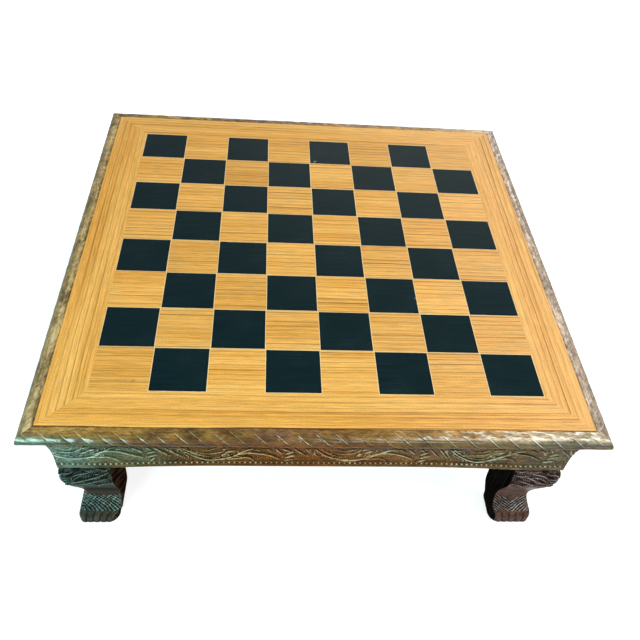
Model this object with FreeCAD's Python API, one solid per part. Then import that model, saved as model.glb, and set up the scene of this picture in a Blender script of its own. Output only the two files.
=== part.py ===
# Low chess table on four paw feet.
# A veneered board with a mitred border and a corded half-round nosing stands on a coved
# frieze and four short legs with a knee, an ankle and a toed foot.
# Millimetres. +X is to the right, +Y is away from the front, +Z is up.
# The origin is on the ground, under the middle of the board.

import FreeCAD, Part
import math
import os

Vector = FreeCAD.Vector

# Board
squares_per_side = 8
square_size = 38.1
line_width = 0.4
border_width = 27.8
veneer_thickness = 1.0
core_thickness = 9.65

# Nosing round the edge of the board, with slanting cuts that make it look like cord
nosing_ledge = 4.9
cord_pitch = 13.0
cord_lean = 15.0
cord_cut_width = 0.9
cord_cut_depth = 0.8

# Frieze under the board: upright at its foot, coved above, cut to a low arch between the legs
frieze_setback = 14.025
frieze_height = 43.85
frieze_thickness = 16.0
cove_start = 12.0
cove_radius = 89.0
arch_rise = 3.1
arch_level_length = 120.0

# Legs, shaped alike on their two outer faces and flat on their two inner ones
leg_height = 85.5
leg_width = 34.8
inner_edge_radius = 4.0
knee_drop = 11.5
knee_bulge = 1.7
ankle_height = 37.0
ankle_setback = 8.7
foot_height = 14.0
foot_setback = 3.2
foot_edge_radius = 4.0
foot_inner_start = 24.0
foot_inner_setback = 2.4
toe_count = 5
toe_length = 15.0
toe_groove_radius = 0.8

# Corner blocks and dowels that hold the legs
block_width = 22.0
dowel_diameter = 10.0
dowel_length = 39.0
dowel_end_gap = 0.5

# Countersunk wood screws
screw_shank_diameter = 4.0
screw_head_diameter = 8.0
screw_slot_width = 1.1
screw_slot_depth = 1.0
screw_point_length = 5.0
core_screw_bite = 18.5
core_screw_spacing = 140.0
block_screw_bite = 10.0
block_screw_low_rise = 26.0
block_screw_high_rise = 34.0

# Space left for glue round dowels and screws
fit_gap = 0.1

# Heights above the ground
frieze_bottom = leg_height
frieze_top = frieze_bottom + frieze_height
core_top = frieze_top + core_thickness
board_top = core_top + veneer_thickness

# Distances from the middle of the board
field_half = square_size * squares_per_side / 2
core_half = field_half + border_width
nosing_radius = (board_top - frieze_top) / 2
nosing_axis_height = (board_top + frieze_top) / 2
nosing_axis_offset = core_half + nosing_ledge
nosing_outer = nosing_axis_offset + nosing_radius
frieze_face = nosing_outer - frieze_setback
frieze_inner = frieze_face - frieze_thickness
leg_inner = frieze_face - leg_width
block_inner = frieze_inner - block_width

side_turns = {"front": 0, "right": 90, "back": 180, "left": 270}
corner_turns = {"back_right": 0, "back_left": 90, "front_left": 180, "front_right": 270}

nodes = {}


def turned(shape, degrees):
    copy = shape.copy()
    copy.rotate(Vector(0, 0, 0), Vector(0, 0, 1), degrees)
    return copy


def prism(outline, bottom, top):
    """A solid over a flat outline of (x, y) points, between two heights."""
    corners = [Vector(x, y, bottom) for x, y in outline]
    face = Part.Face(Part.makePolygon(corners + corners[:1]))
    return face.extrude(Vector(0, 0, top - bottom))


def square_outline(left, front, size):
    return [(left, front), (left + size, front), (left + size, front + size), (left, front + size)]


def mitre_wedge(bottom, top):
    """The quarter of the plan that belongs to the front, between two mitre planes."""
    reach = nosing_outer * 1.1
    return prism([(0, 0), (-reach, -reach), (reach, -reach)], bottom, top)


def front_bar(section, bottom, top):
    """A moulding along the front, from edges in the Y-Z plane, mitred at both ends."""
    face = Part.Face(Part.Wire(section))
    face.translate(Vector(-nosing_outer, 0, 0))
    bar = face.extrude(Vector(2 * nosing_outer, 0, 0))
    return bar.common(mitre_wedge(bottom, top)).Solids[0]


def straight(start, end):
    return Part.LineSegment(start, end).toShape()


def wood_screw(length, swell=0.0):
    """A slotted countersunk screw with its head's face at the origin, pointing down.
    With a swell it is the hole for that screw."""
    shank_radius = screw_shank_diameter / 2 + swell
    head_radius = screw_head_diameter / 2 + swell
    head_depth = head_radius - shank_radius
    tip = length + swell
    outline = [
        Vector(0, 0, 0),
        Vector(head_radius, 0, 0),
        Vector(shank_radius, 0, -head_depth),
        Vector(shank_radius, 0, -tip + screw_point_length),
        Vector(0, 0, -tip),
    ]
    face = Part.Face(Part.makePolygon(outline + outline[:1]))
    screw = face.revolve(Vector(0, 0, 0), Vector(0, 0, 1), 360).Solids[0]
    if swell:
        return screw
    slot_corner = Vector(-screw_head_diameter / 2, -screw_slot_width / 2, -screw_slot_depth)
    slot = Part.makeBox(screw_head_diameter, screw_slot_width, screw_slot_depth, slot_corner)
    return screw.cut(slot).Solids[0]


def squares():
    """The squares of each rank, and the pale line round each dark one, from the back."""
    for rank in range(squares_per_side):
        dark = []
        light = []
        lines = []
        front = field_half - (rank + 1) * square_size
        for file in range(squares_per_side):
            left = -field_half + file * square_size
            if (rank + file) % 2:
                light.append(prism(square_outline(left, front, square_size), core_top, board_top))
            else:
                inner_size = square_size - 2 * line_width
                inner = square_outline(left + line_width, front + line_width, inner_size)
                dark.append(prism(inner, core_top, board_top))
                lines += line_frame(inner, square_outline(left, front, square_size))
        nodes["dark_squares_rank_%d" % (rank + 1)] = dark
        nodes["light_squares_rank_%d" % (rank + 1)] = light
        nodes["inlaid_lines_rank_%d" % (rank + 1)] = lines


def line_frame(inner, outer):
    """Four mitred strips between two square outlines."""
    strips = []
    for start in range(4):
        end = (start + 1) % 4
        strip = [outer[start], outer[end], inner[end], inner[start]]
        strips.append(prism(strip, core_top, board_top))
    return strips


def border_veneers():
    outline = [
        (-core_half, -core_half),
        (core_half, -core_half),
        (field_half, -field_half),
        (-field_half, -field_half),
    ]
    front = prism(outline, core_top, board_top)
    for side, turn in side_turns.items():
        nodes["border_veneer_" + side] = [turned(front, turn)]


def nosing_section():
    """Edges of the nosing's section: flat above and below, round at its edge."""
    inner_low = Vector(0, -core_half, frieze_top)
    outer_low = Vector(0, -nosing_axis_offset, frieze_top)
    nose = Vector(0, -nosing_outer, nosing_axis_height)
    outer_high = Vector(0, -nosing_axis_offset, board_top)
    inner_high = Vector(0, -core_half, board_top)
    return [
        straight(inner_low, outer_low),
        Part.Arc(outer_low, nose, outer_high).toShape(),
        straight(outer_high, inner_high),
        straight(inner_high, inner_low),
    ]


def nose_skin():
    """Edges of the skin on the round edge, as thick as the cord cuts are deep."""
    axis = Vector(0, -nosing_axis_offset, nosing_axis_height)
    pared = nosing_radius - cord_cut_depth
    outer_low, inner_low = axis - Vector(0, 0, nosing_radius), axis - Vector(0, 0, pared)
    outer_high, inner_high = axis + Vector(0, 0, nosing_radius), axis + Vector(0, 0, pared)
    return [
        Part.Arc(outer_low, axis - Vector(0, nosing_radius, 0), outer_high).toShape(),
        straight(outer_high, inner_high),
        Part.Arc(inner_high, axis - Vector(0, pared, 0), inner_low).toShape(),
        straight(inner_low, outer_low),
    ]


def nosings():
    whole = front_bar(nosing_section(), frieze_top, board_top)
    skin = front_bar(nose_skin(), frieze_top, board_top)
    lean_angle = math.degrees(math.atan2(cord_lean, 2 * nosing_radius))
    blade_height = 2 * (cord_lean + 2 * nosing_radius)
    blade_corner = Vector(-cord_cut_width / 2, -2 * nosing_outer, -blade_height / 2)
    blade = Part.makeBox(cord_cut_width, 2 * nosing_outer, blade_height, blade_corner)
    blade.rotate(Vector(0, 0, 0), Vector(0, 1, 0), -lean_angle)
    cut_count = int(2 * (core_half - cord_lean / 2) / cord_pitch) + 1
    first = -(cut_count - 1) * cord_pitch / 2
    blades = []
    for number in range(cut_count):
        copy = blade.copy()
        copy.translate(Vector(first + number * cord_pitch, 0, nosing_axis_height))
        blades.append(copy)
    cuts = skin.common(Part.makeCompound(blades))
    front = whole.cut(cuts).Solids[0]
    for side, turn in side_turns.items():
        nodes["nosing_" + side] = [turned(front, turn)]


def core_screw_places():
    """Where screws go down through the core into the frieze, on the front."""
    across = -frieze_face + frieze_thickness / 2
    return [(-core_screw_spacing / 2, across), (core_screw_spacing / 2, across)]


def core_screws(swell=0.0):
    screws = []
    for turn in side_turns.values():
        for along, across in core_screw_places():
            screw = wood_screw(core_thickness + core_screw_bite, swell)
            screw.translate(Vector(along, across, core_top))
            screws.append(turned(screw, turn))
    return screws


def block_screws(swell=0.0):
    """Two screws through each corner block, one into each frieze rail that it joins."""
    middle = frieze_inner - block_width / 2
    length = block_width + block_screw_bite
    screws = []
    for turn in corner_turns.values():
        to_right = wood_screw(length, swell)
        to_right.rotate(Vector(0, 0, 0), Vector(0, 1, 0), -90)
        to_right.translate(Vector(block_inner, middle, frieze_bottom + block_screw_low_rise))
        to_back = wood_screw(length, swell)
        to_back.rotate(Vector(0, 0, 0), Vector(1, 0, 0), 90)
        to_back.translate(Vector(middle, block_inner, frieze_bottom + block_screw_high_rise))
        screws.append(turned(to_right, turn))
        screws.append(turned(to_back, turn))
    return screws


def leg_dowels(swell=0.0, end_gap=0.0):
    """One dowel per leg, half in the leg and half in the block, in the middle of what they share."""
    middle = (leg_inner + frieze_inner) / 2
    length = dowel_length + 2 * end_gap
    base = Vector(middle, middle, frieze_bottom - length / 2)
    dowel = Part.makeCylinder(dowel_diameter / 2 + swell, length, base)
    return [turned(dowel, turn) for turn in corner_turns.values()]


def core():
    board = Part.makeBox(2 * core_half, 2 * core_half, core_thickness,
                         Vector(-core_half, -core_half, frieze_top))
    for hole in core_screws(fit_gap):
        board = board.cut(hole)
    nodes["board_core"] = board.Solids


def frieze_rails():
    base = Vector(0, -frieze_face, frieze_bottom)
    cove_foot = base + Vector(0, 0, cove_start)
    cove_rise = frieze_height - cove_start
    cove_middle = Vector(0, -cove_reach(cove_rise / 2), cove_rise / 2)
    cove_end = Vector(0, -cove_reach(cove_rise), cove_rise)
    inner_low = Vector(0, -frieze_inner, frieze_bottom)
    inner_high = Vector(0, -frieze_inner, frieze_top)
    section = [
        straight(inner_low, base),
        straight(base, cove_foot),
        Part.Arc(cove_foot, cove_foot + cove_middle, cove_foot + cove_end).toShape(),
        straight(cove_foot + cove_end, inner_high),
        straight(inner_high, inner_low),
    ]
    front = front_bar(section, frieze_bottom, frieze_top).cut(frieze_arch())
    holes = core_screws(fit_gap) + block_screws(fit_gap)
    for side, turn in side_turns.items():
        rail = turned(front, turn)
        for hole in holes:
            rail = rail.cut(hole)
        nodes["frieze_rail_" + side] = rail.Solids


def frieze_arch():
    """What is cut from under the front rail: level in the middle, bent down to the legs."""
    level_half = arch_level_length / 2
    bend_run = leg_inner - level_half
    bend_radius = (bend_run ** 2 + arch_rise ** 2) / (2 * arch_rise)
    bend_middle = arch_rise - bend_radius + math.sqrt(bend_radius ** 2 - (bend_run / 2) ** 2)
    half_outline = [
        (leg_inner, -arch_rise),
        (leg_inner, 0),
        (level_half + bend_run / 2, bend_middle),
        (level_half, arch_rise),
    ]
    left = [Vector(-across, 0, height) for across, height in half_outline]
    right = [Vector(across, 0, height) for across, height in half_outline]
    edges = [
        straight(left[0], left[1]),
        Part.Arc(left[1], left[2], left[3]).toShape(),
        straight(left[3], right[3]),
        Part.Arc(right[3], right[2], right[1]).toShape(),
        straight(right[1], right[0]),
        straight(right[0], left[0]),
    ]
    face = Part.Face(Part.Wire(edges))
    face.translate(Vector(0, -frieze_face - frieze_thickness, frieze_bottom))
    return face.extrude(Vector(0, 3 * frieze_thickness, 0))


def cove_reach(rise):
    """How far the cove stands out at a height above where it starts."""
    return cove_radius - math.sqrt(cove_radius ** 2 - rise ** 2)


def swept_curve(start, end):
    """A curve between two (x, z) points that is upright at both ends."""
    third = (end[1] - start[1]) / 3
    poles = [
        Vector(start[0], 0, start[1]),
        Vector(start[0], 0, start[1] + third),
        Vector(end[0], 0, end[1] - third),
        Vector(end[0], 0, end[1]),
    ]
    curve = Part.BezierCurve()
    curve.setPoles(poles)
    return curve.toShape()


def leg_slab():
    """The leg's side view in the X-Z plane, drawn along Y."""
    top = (frieze_face, leg_height)
    knee = (frieze_face + knee_bulge, leg_height - knee_drop)
    ankle = (frieze_face - ankle_setback, ankle_height)
    foot = (frieze_face - foot_setback, foot_height)
    edge = foot_edge_radius
    ease = edge * (1 - math.sqrt(0.5))
    foot_inner = leg_inner + foot_inner_setback
    outer_start = Vector(foot[0], 0, edge)
    outer_end = Vector(foot[0] - edge, 0, 0)
    inner_start = Vector(foot_inner + edge, 0, 0)
    inner_top = Vector(leg_inner, 0, leg_height)
    edges = [
        swept_curve(top, knee),
        swept_curve(knee, ankle),
        swept_curve(ankle, foot),
        straight(Vector(foot[0], 0, foot[1]), outer_start),
        Part.Arc(outer_start, Vector(foot[0] - ease, 0, ease), outer_end).toShape(),
        straight(outer_end, inner_start),
        Part.Arc(inner_start, Vector(foot_inner + ease, 0, ease), Vector(foot_inner, 0, edge)).toShape(),
        swept_curve((foot_inner, edge), (leg_inner, foot_inner_start)),
        straight(Vector(leg_inner, 0, foot_inner_start), inner_top),
        straight(inner_top, Vector(top[0], 0, top[1])),
    ]
    face = Part.Face(Part.Wire(edges))
    face.translate(Vector(0, leg_inner, 0))
    return face.extrude(Vector(0, leg_width + knee_bulge, 0))


def rounded_post():
    """An upright post that takes the sharpness off the leg's inner edge."""
    near = leg_inner + inner_edge_radius
    far = frieze_face + 2 * knee_bulge
    ease = inner_edge_radius * (1 - math.sqrt(0.5))
    corners = [
        Vector(near, leg_inner, 0),
        Vector(far, leg_inner, 0),
        Vector(far, far, 0),
        Vector(leg_inner, far, 0),
        Vector(leg_inner, near, 0),
    ]
    edges = [straight(start, end) for start, end in zip(corners, corners[1:])]
    middle = Vector(leg_inner + ease, leg_inner + ease, 0)
    edges.append(Part.Arc(corners[-1], middle, corners[0]).toShape())
    return Part.Face(Part.Wire(edges)).extrude(Vector(0, 0, leg_height))


def toe_grooves():
    """Upright grooves that part the toes on the foot's two outer faces."""
    foot_face = frieze_face - foot_setback
    foot_inner = leg_inner + foot_inner_setback
    toe_width = (foot_face - foot_inner) / toe_count
    grooves = []
    for number in range(1, toe_count):
        across = foot_inner + number * toe_width
        for x, y in ((foot_face, across), (across, foot_face)):
            grooves.append(Part.makeCylinder(toe_groove_radius, toe_length, Vector(x, y, 0)))
            grooves.append(Part.makeSphere(toe_groove_radius, Vector(x, y, toe_length)))
    return grooves


def legs():
    along_y = leg_slab()
    along_x = along_y.mirror(Vector(0, 0, 0), Vector(1, -1, 0))
    leg = along_y.common(along_x).common(rounded_post())
    for groove in toe_grooves():
        leg = leg.cut(groove)
    for hole in leg_dowels(fit_gap, dowel_end_gap):
        leg = leg.cut(hole)
    for corner, turn in corner_turns.items():
        nodes["leg_" + corner] = [turned(leg.Solids[0], turn)]


def corner_blocks():
    outline = square_outline(block_inner, block_inner, block_width)
    block = prism(outline, frieze_bottom, frieze_top)
    for hole in block_screws(fit_gap) + leg_dowels(fit_gap, dowel_end_gap):
        block = block.cut(hole)
    for corner, turn in corner_turns.items():
        nodes["corner_block_" + corner] = [turned(block.Solids[0], turn)]


squares()
border_veneers()
nosings()
core()
frieze_rails()
legs()
corner_blocks()
nodes["leg_dowels"] = leg_dowels()
nodes["core_screws"] = core_screws()
nodes["block_screws"] = block_screws()

os.makedirs("parts", exist_ok=True)
for name, solids in nodes.items():
    Part.makeCompound(solids).exportStep(os.path.join("parts", name + ".step"))
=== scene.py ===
import math
import bpy
import bmesh
import numpy as np
from mathutils import Euler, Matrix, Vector


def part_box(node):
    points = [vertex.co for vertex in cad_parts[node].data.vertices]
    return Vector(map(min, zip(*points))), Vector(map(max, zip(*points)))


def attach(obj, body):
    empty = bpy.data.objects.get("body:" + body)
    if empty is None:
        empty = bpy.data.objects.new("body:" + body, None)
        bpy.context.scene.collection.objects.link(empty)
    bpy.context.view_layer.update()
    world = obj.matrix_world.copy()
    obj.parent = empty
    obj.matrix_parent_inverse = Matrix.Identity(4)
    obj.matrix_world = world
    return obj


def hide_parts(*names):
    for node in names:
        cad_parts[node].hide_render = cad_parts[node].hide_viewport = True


# A low carved chess table. The frame brings every piece at its real size and place. Here the pieces
# get their finishes, and the corded nosing, the frieze and the legs get their carved surface.

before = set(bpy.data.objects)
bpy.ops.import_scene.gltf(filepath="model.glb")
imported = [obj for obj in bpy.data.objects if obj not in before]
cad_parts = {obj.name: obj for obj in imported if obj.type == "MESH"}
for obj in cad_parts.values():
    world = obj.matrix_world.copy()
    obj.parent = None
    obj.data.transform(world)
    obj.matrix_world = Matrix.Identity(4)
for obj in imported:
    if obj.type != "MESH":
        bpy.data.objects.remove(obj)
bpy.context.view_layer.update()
mm = 0.001
sideTurns = {"front": 0, "right": 90, "back": 180, "left": 270}
legTurns = {"back_right": 0, "back_left": 90, "front_left": 180, "front_right": 270}


def hexColour(text):  # sRGB hex to the linear values that a socket takes
    channels = [int(text[i:i + 2], 16) / 255 for i in (1, 3, 5)]
    return (*[c / 12.92 if c <= 0.04045 else ((c + 0.055) / 1.055) ** 2.4 for c in channels], 1.0)


def setInputs(tree, node, inputs):  # another node's output is linked, anything else is a value
    for key, value in inputs.items():
        found = [s for s in node.inputs if key in (s.identifier, s.name)]
        socket = node.inputs[key] if isinstance(key, int) else found[0]
        if isinstance(value, bpy.types.NodeSocket):
            tree.links.new(value, socket)
        else:
            socket.default_value = value


def addNode(tree, kind, inputs=None, stops=None, **settings):
    # one node with its settings, its values and its links; stops are a colour ramp's
    node = tree.nodes.new(kind)
    for name, value in settings.items():
        setattr(node, name, value)
    for number, (place, colour) in enumerate(stops or []):
        elements = node.color_ramp.elements
        element = elements[number] if number < len(elements) else elements.new(place)
        element.position = place
        element.color = hexColour(colour)
    setInputs(tree, node, inputs or {})
    return node


stepNodes = {  # what a step can be besides a sum: its node, settings, sockets and output
    "RANGE": ("ShaderNodeMapRange", {}, range(5), 0),
    "MIX": ("ShaderNodeMix", {"data_type": "RGBA"}, ("Factor_Float", "A_Color", "B_Color"), 2),
    "SHADE": ("ShaderNodeVectorMath", {"operation": "SCALE"}, (0, "Scale"), 0),
    "CHANCE": ("ShaderNodeTexWhiteNoise", {"noise_dimensions": "1D"}, ("W",), "Value"),
}


def workOut(tree, values, steps):
    # Each step is a name for the result, an operation, and what it works on: earlier names, numbers
    # or hex colours. A range takes a noise, which lies mostly between 0.3 and 0.7, to the tones it gives.
    for name, operation, *terms in steps:
        sumNode = ("ShaderNodeMath", {"operation": operation}, range(3), 0)
        kind, settings, sockets, output = stepNodes.get(operation, sumNode)
        terms = [hexColour(term) if str(term)[0] == "#" else values.get(term, term) for term in terms]
        values[name] = addNode(tree, kind, dict(zip(sockets, terms)), **settings).outputs[output]
    return values


def startMaterial(name):
    material = bpy.data.materials.new(name)
    material.use_nodes = True
    tree = material.node_tree
    tree.nodes.clear()
    surface = addNode(tree, "ShaderNodeBsdfPrincipled")
    addNode(tree, "ShaderNodeOutputMaterial", {"Surface": surface.outputs[0]})
    place = addNode(tree, "ShaderNodeTexCoord").outputs["Object"]
    return material, tree, surface, place


def streaks(tree, place, along, length, pitch, detail):
    # noise drawn out along one axis, as grain is: the pitch is the mean width of a streak
    scale = [1 / pitch] * 3
    scale["XYZ".index(along)] = 1 / length
    stretched = addNode(tree, "ShaderNodeMapping", {"Vector": place, "Scale": scale}).outputs[0]
    noise = {"Vector": stretched, "Scale": 1.0, "Detail": detail, "Roughness": 0.55}
    return addNode(tree, "ShaderNodeTexNoise", noise).outputs[0]


def scratched(tree, place, marks):
    # how plainly a mark shows at each place: one straight stroke for each entry of the list
    axes = addNode(tree, "ShaderNodeSeparateXYZ", {0: place}).outputs
    values = {"x": axes["X"], "y": axes["Y"], "most": 0.0}
    for (startX, startY), (endX, endY), width, plain in marks:
        runX, runY = (endX - startX) * mm, (endY - startY) * mm
        workOut(tree, values, [
            ("fromX", "SUBTRACT", "x", startX * mm),
            ("fromY", "SUBTRACT", "y", startY * mm),
            ("partX", "MULTIPLY", "fromX", runX),
            ("dot", "MULTIPLY_ADD", "fromY", runY, "partX"),
            ("share", "RANGE", "dot", 0, runX ** 2 + runY ** 2, 0, 1),
            ("offX", "MULTIPLY_ADD", "share", -runX, "fromX"),
            ("offY", "MULTIPLY_ADD", "share", -runY, "fromY"),
            ("squareX", "MULTIPLY", "offX", "offX"),
            ("square", "MULTIPLY_ADD", "offY", "offY", "squareX"),
            ("distance", "SQRT", "square"),
            ("mark", "RANGE", "distance", 0, width * mm, plain, 0),
            ("most", "MAXIMUM", "most", "mark"),
        ])
    return values["most"]


# Finishes

teak = {
    "ground": "#E3A64A",
    "pale": "#F1BA62",
    "rosy": "#F6BE82",         # the sheets toward the right are pinker, and paler there as painted sheen
    "growthLine": "#7E460C",
    "growthRings": [(4.3 * mm, 1.0), (2.3 * mm, 0.75)],  # pitch and strength of the two sets of lines
    "sharpness": 4.6,
    "faintest": 0.25,          # share of its strength that the faintest line of a set has
    "plainest": 0.45,          # strength of the lines where a sheet is plainest
    "speckle": 0.8 * mm,
    "wander": 0.9,             # how far, in rings, a growth line strays along a side
    "wobble": 0.35,            # and how far it wavers on its way
    "streaks": {               # length along the grain, width and detail of each pattern
        "warp": (150 * mm, 15 * mm, 1.0),
        "wavering": (110 * mm, 5 * mm, 1.0),
        "zone": (300 * mm, 8 * mm, 1.0),
        "band": (240 * mm, 11 * mm, 1.0),
        "pore": (14 * mm, 0.55 * mm, 3.0),  # real pores are finer, drawn as coarse as they need to show
    },
    "rosySheenSpan": (20 * mm, 180 * mm),  # across the board, where the pink and the painted sheen begin and are full
    "rosySheenMost": 0.5,
    "zoneSpan": (0.4, 0.6),    # of that pattern, from the plainest to the most lined
    "bandSpan": (0.35, 0.65),
    "squareTones": (0.93, 1.04),
    "poreTones": (0.36, 0.64, 0.84, 1.16),  # the pattern's range and the tones that it becomes
    "speckleTones": (0.3, 0.7, 0.86, 1.14),
    "nickTone": -0.45,
    "poreDepth": 0.05 * mm,
    "roughness": 0.42,
    "specular": 0.25,
    "square": 38.1 * mm,
    # dark nicks: where each starts and ends on the board in millimetres, its width, how plain it is
    "nicks": [
        ((-125.6, -144.7), (-123.8, -143.5), 1.0, 0.9),
        ((-68.2, -127.6), (-66.8, -127.0), 0.8, 0.5),
    ],
}


def teakVeneer(name, along, bySquare, seed):
    # Quarter-cut teak under satin polish: straight golden grain, thin darker growth lines, short pores.
    material, tree, surface, place = startMaterial(name)
    grainPlace = addNode(tree, "ShaderNodeVectorMath", {0: place, 1: (seed, 2 * seed, 0)}).outputs[0]
    values = {"squareTone": 1.0, "lines": 0.0, "mark": scratched(tree, place, teak["nicks"])}
    if bySquare:  # each square is cut from another place of the sheet
        cell = {0: place, 1: (teak["square"],) * 3}
        square = addNode(tree, "ShaderNodeVectorMath", cell, operation="SNAP").outputs[0]
        chance = addNode(tree, "ShaderNodeTexWhiteNoise", {"Vector": square}).outputs
        moved = {0: grainPlace, 1: chance["Color"]}
        grainPlace = addNode(tree, "ShaderNodeVectorMath", moved).outputs[0]
        values["chance"] = chance["Value"]
        workOut(tree, values, [("squareTone", "RANGE", "chance", 0, 1, *teak["squareTones"])])
    axes = addNode(tree, "ShaderNodeSeparateXYZ", {0: grainPlace}).outputs
    values["across"] = axes["Y" if along == "X" else "X"]
    values["toward"] = addNode(tree, "ShaderNodeSeparateXYZ", {0: place}).outputs["X"]
    speckle = addNode(tree, "ShaderNodeTexNoise", {"Vector": place, "Scale": 1 / teak["speckle"]})
    values["speckle"] = speckle.outputs[0]
    for pattern, sizes in teak["streaks"].items():
        values[pattern] = streaks(tree, grainPlace, along, *sizes)
    workOut(tree, values, [
        ("strayed", "MULTIPLY", "wavering", teak["wobble"]),
        ("lined", "RANGE", "zone", *teak["zoneSpan"], teak["plainest"], 1),
    ])
    for pitch, strength in teak["growthRings"]:
        workOut(tree, values, [
            ("turns", "DIVIDE", "across", pitch),
            ("drifted", "MULTIPLY_ADD", "warp", teak["wander"], "turns"),
            ("phase", "ADD", "drifted", "strayed"),
            ("ring", "FLOOR", "phase"),
            ("part", "FRACT", "phase"),
            ("thin", "POWER", "part", teak["sharpness"]),
            ("sharp", "MULTIPLY", "thin", "lined"),
            ("ringChance", "CHANCE", "ring"),
            ("ringStrength", "RANGE", "ringChance", 0, 1, teak["faintest"] * strength, strength),
            ("lines", "MULTIPLY_ADD", "sharp", "ringStrength", "lines"),
        ])
    workOut(tree, values, [
        ("banded", "RANGE", "band", *teak["bandSpan"], 0, 1),
        ("ground", "MIX", "banded", teak["ground"], teak["pale"]),
        # toward the right pinker and paler: the sheets' hue with painted sheen
        ("pinker", "RANGE", "toward", *teak["rosySheenSpan"], 0, teak["rosySheenMost"]),
        ("rosy", "MIX", "pinker", "ground", teak["rosy"]),
        ("figured", "MIX", "lines", "rosy", teak["growthLine"]),
        ("poreTone", "RANGE", "pore", *teak["poreTones"]),
        ("speckled", "RANGE", "speckle", *teak["speckleTones"]),
        ("pored", "MULTIPLY", "poreTone", "squareTone"),
        ("marked", "MULTIPLY_ADD", "mark", teak["nickTone"], 1.0),
        ("aged", "MULTIPLY", "pored", "speckled"),
        ("tone", "MULTIPLY", "aged", "marked"),
        ("colour", "SHADE", "figured", "tone"),
    ])
    pores = {"Height": values["pore"], "Strength": 0.15, "Distance": teak["poreDepth"]}
    setInputs(tree, surface, {
        "Base Color": values["colour"],
        "Roughness": teak["roughness"],
        "Specular IOR Level": teak["specular"],
        "Normal": addNode(tree, "ShaderNodeBump", pores).outputs[0],
    })
    return material


ebony = {
    "ground": "#04191D",
    "streak": "#0B272B",
    "grain": (30 * mm, 0.7 * mm, 3.0),
    "cloud": 24 * mm,          # size of the places where dust lies and the sheen is duller
    "dust": "#4A6068",
    "dustPitch": 0.9 * mm,
    "dustSize": (0.12, 0.3),   # of a speck's middle and its edge, in pitches
    "dustyFrom": (0.52, 0.72, 0, 0.55),  # the cloud's range and how plain the dust is there
    "grainSpan": (0.35, 0.7),
    "roughness": (0.3, 0.7, 0.28, 0.4),  # the cloud's range and what it becomes
    "specular": 0.12,
    "scratch": "#A8BCC2",
    "scratches": [  # where each starts and ends on the board, its width and how plainly it shows
        ((23.5, -63.0), (25.5, -60.2), 1.1, 0.9),
        ((75.0, -60.0), (83.5, -58.0), 0.9, 0.5),
        ((83.5, -58.0), (89.0, -58.4), 0.8, 0.4),
        ((88.6, -64.0), (89.2, -63.5), 1.2, 0.9),
        ((-116.0, -51.0), (-115.2, -50.6), 1.3, 0.9),
        ((-123.0, -48.5), (-121.5, -49.0), 0.9, 0.5),
        ((-9.0, 118.0), (-7.5, 119.5), 1.3, 0.5),
        ((4.0, 117.0), (5.4, 118.2), 1.3, 0.5),
        ((116.0, -104.0), (125.5, -96.0), 0.7, 0.3),
    ],
}


def ebonisedVeneer():
    # Close-grained wood stained blue-black and polished: a deep even field with a soft sheen and dust.
    material, tree, surface, place = startMaterial("ebonised_veneer")
    cloud = addNode(tree, "ShaderNodeTexNoise", {"Vector": place, "Scale": 1 / ebony["cloud"]})
    speck = addNode(tree, "ShaderNodeTexVoronoi", {"Vector": place, "Scale": 1 / ebony["dustPitch"]})
    values = {
        "grain": streaks(tree, place, "X", *ebony["grain"]),
        "cloud": cloud.outputs[0],
        "speck": speck.outputs["Distance"],
        "scratched": scratched(tree, place, ebony["scratches"]),
    }
    workOut(tree, values, [
        ("near", "RANGE", "speck", *ebony["dustSize"], 1, 0),
        ("rare", "RANGE", "cloud", *ebony["dustyFrom"]),
        ("dust", "MULTIPLY", "near", "rare"),
        ("grained", "RANGE", "grain", *ebony["grainSpan"], 0, 1),
        ("wood", "MIX", "grained", ebony["ground"], ebony["streak"]),
        ("dusty", "MIX", "dust", "wood", ebony["dust"]),
        ("colour", "MIX", "scratched", "dusty", ebony["scratch"]),
        ("roughness", "RANGE", "cloud", *ebony["roughness"]),
    ])
    setInputs(tree, surface, {
        "Base Color": values["colour"],
        "Roughness": values["roughness"],
        "Specular IOR Level": ebony["specular"],
    })
    return material


polish = {
    "pore": "#0A0503",        # old wax and dirt in the deepest cuts, and the painted shade that low relief carries
    "cloud": 30 * mm,         # size of the places that are more or less worn and painted with highlights
    "streaks": {              # length along the wood, width and detail of each pattern
        "grain": (26 * mm, 0.8 * mm, 3.0),
        "blotch": (18 * mm, 6 * mm, 4.0),     # rubbed and bruised places
        "fleck": (3.75 * mm, 1.5 * mm, 4.0),  # small bruises and specks
    },
    "stain": "#38241E",
    "stainStreak": (16 * mm, 8 * mm, 3.0),
    "stainSpan": (0.53, 0.66),
    "stainMost": (0.5, 0.62, 0.6, 0.12),  # how strong a stain is left and right of the middle
    "halfBoard": 190 * mm,
    # a pattern's range and the tones that it becomes
    "grainTones": (0.3, 0.7, 0.72, 1.28),
    "blotchTones": (0.35, 0.65, 0.62, 1.34),
    "fleckTones": (0.34, 0.6, 0.6, 1.16),
    "wornAndHighlitShares": (0.38, 0.62, 0.5, 1),      # how much of a ridge is rubbed bare and painted as highlit
    "unspecked": (0.36, 0.54, 0.35, 1),
    "ridge": (0.6, 1, 0, 1),                 # of the relief
    "hollow": (0.04, 0.46, 1, 0),
    "strandTone": 0.28,       # how much one strand of the cord may be lighter than the next
    "drift": 0.08,            # how far the change of tone from left to right strays
    "roughening": (-0.05, 0.1),
    "bumpDepth": 0.1 * mm,
}
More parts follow.
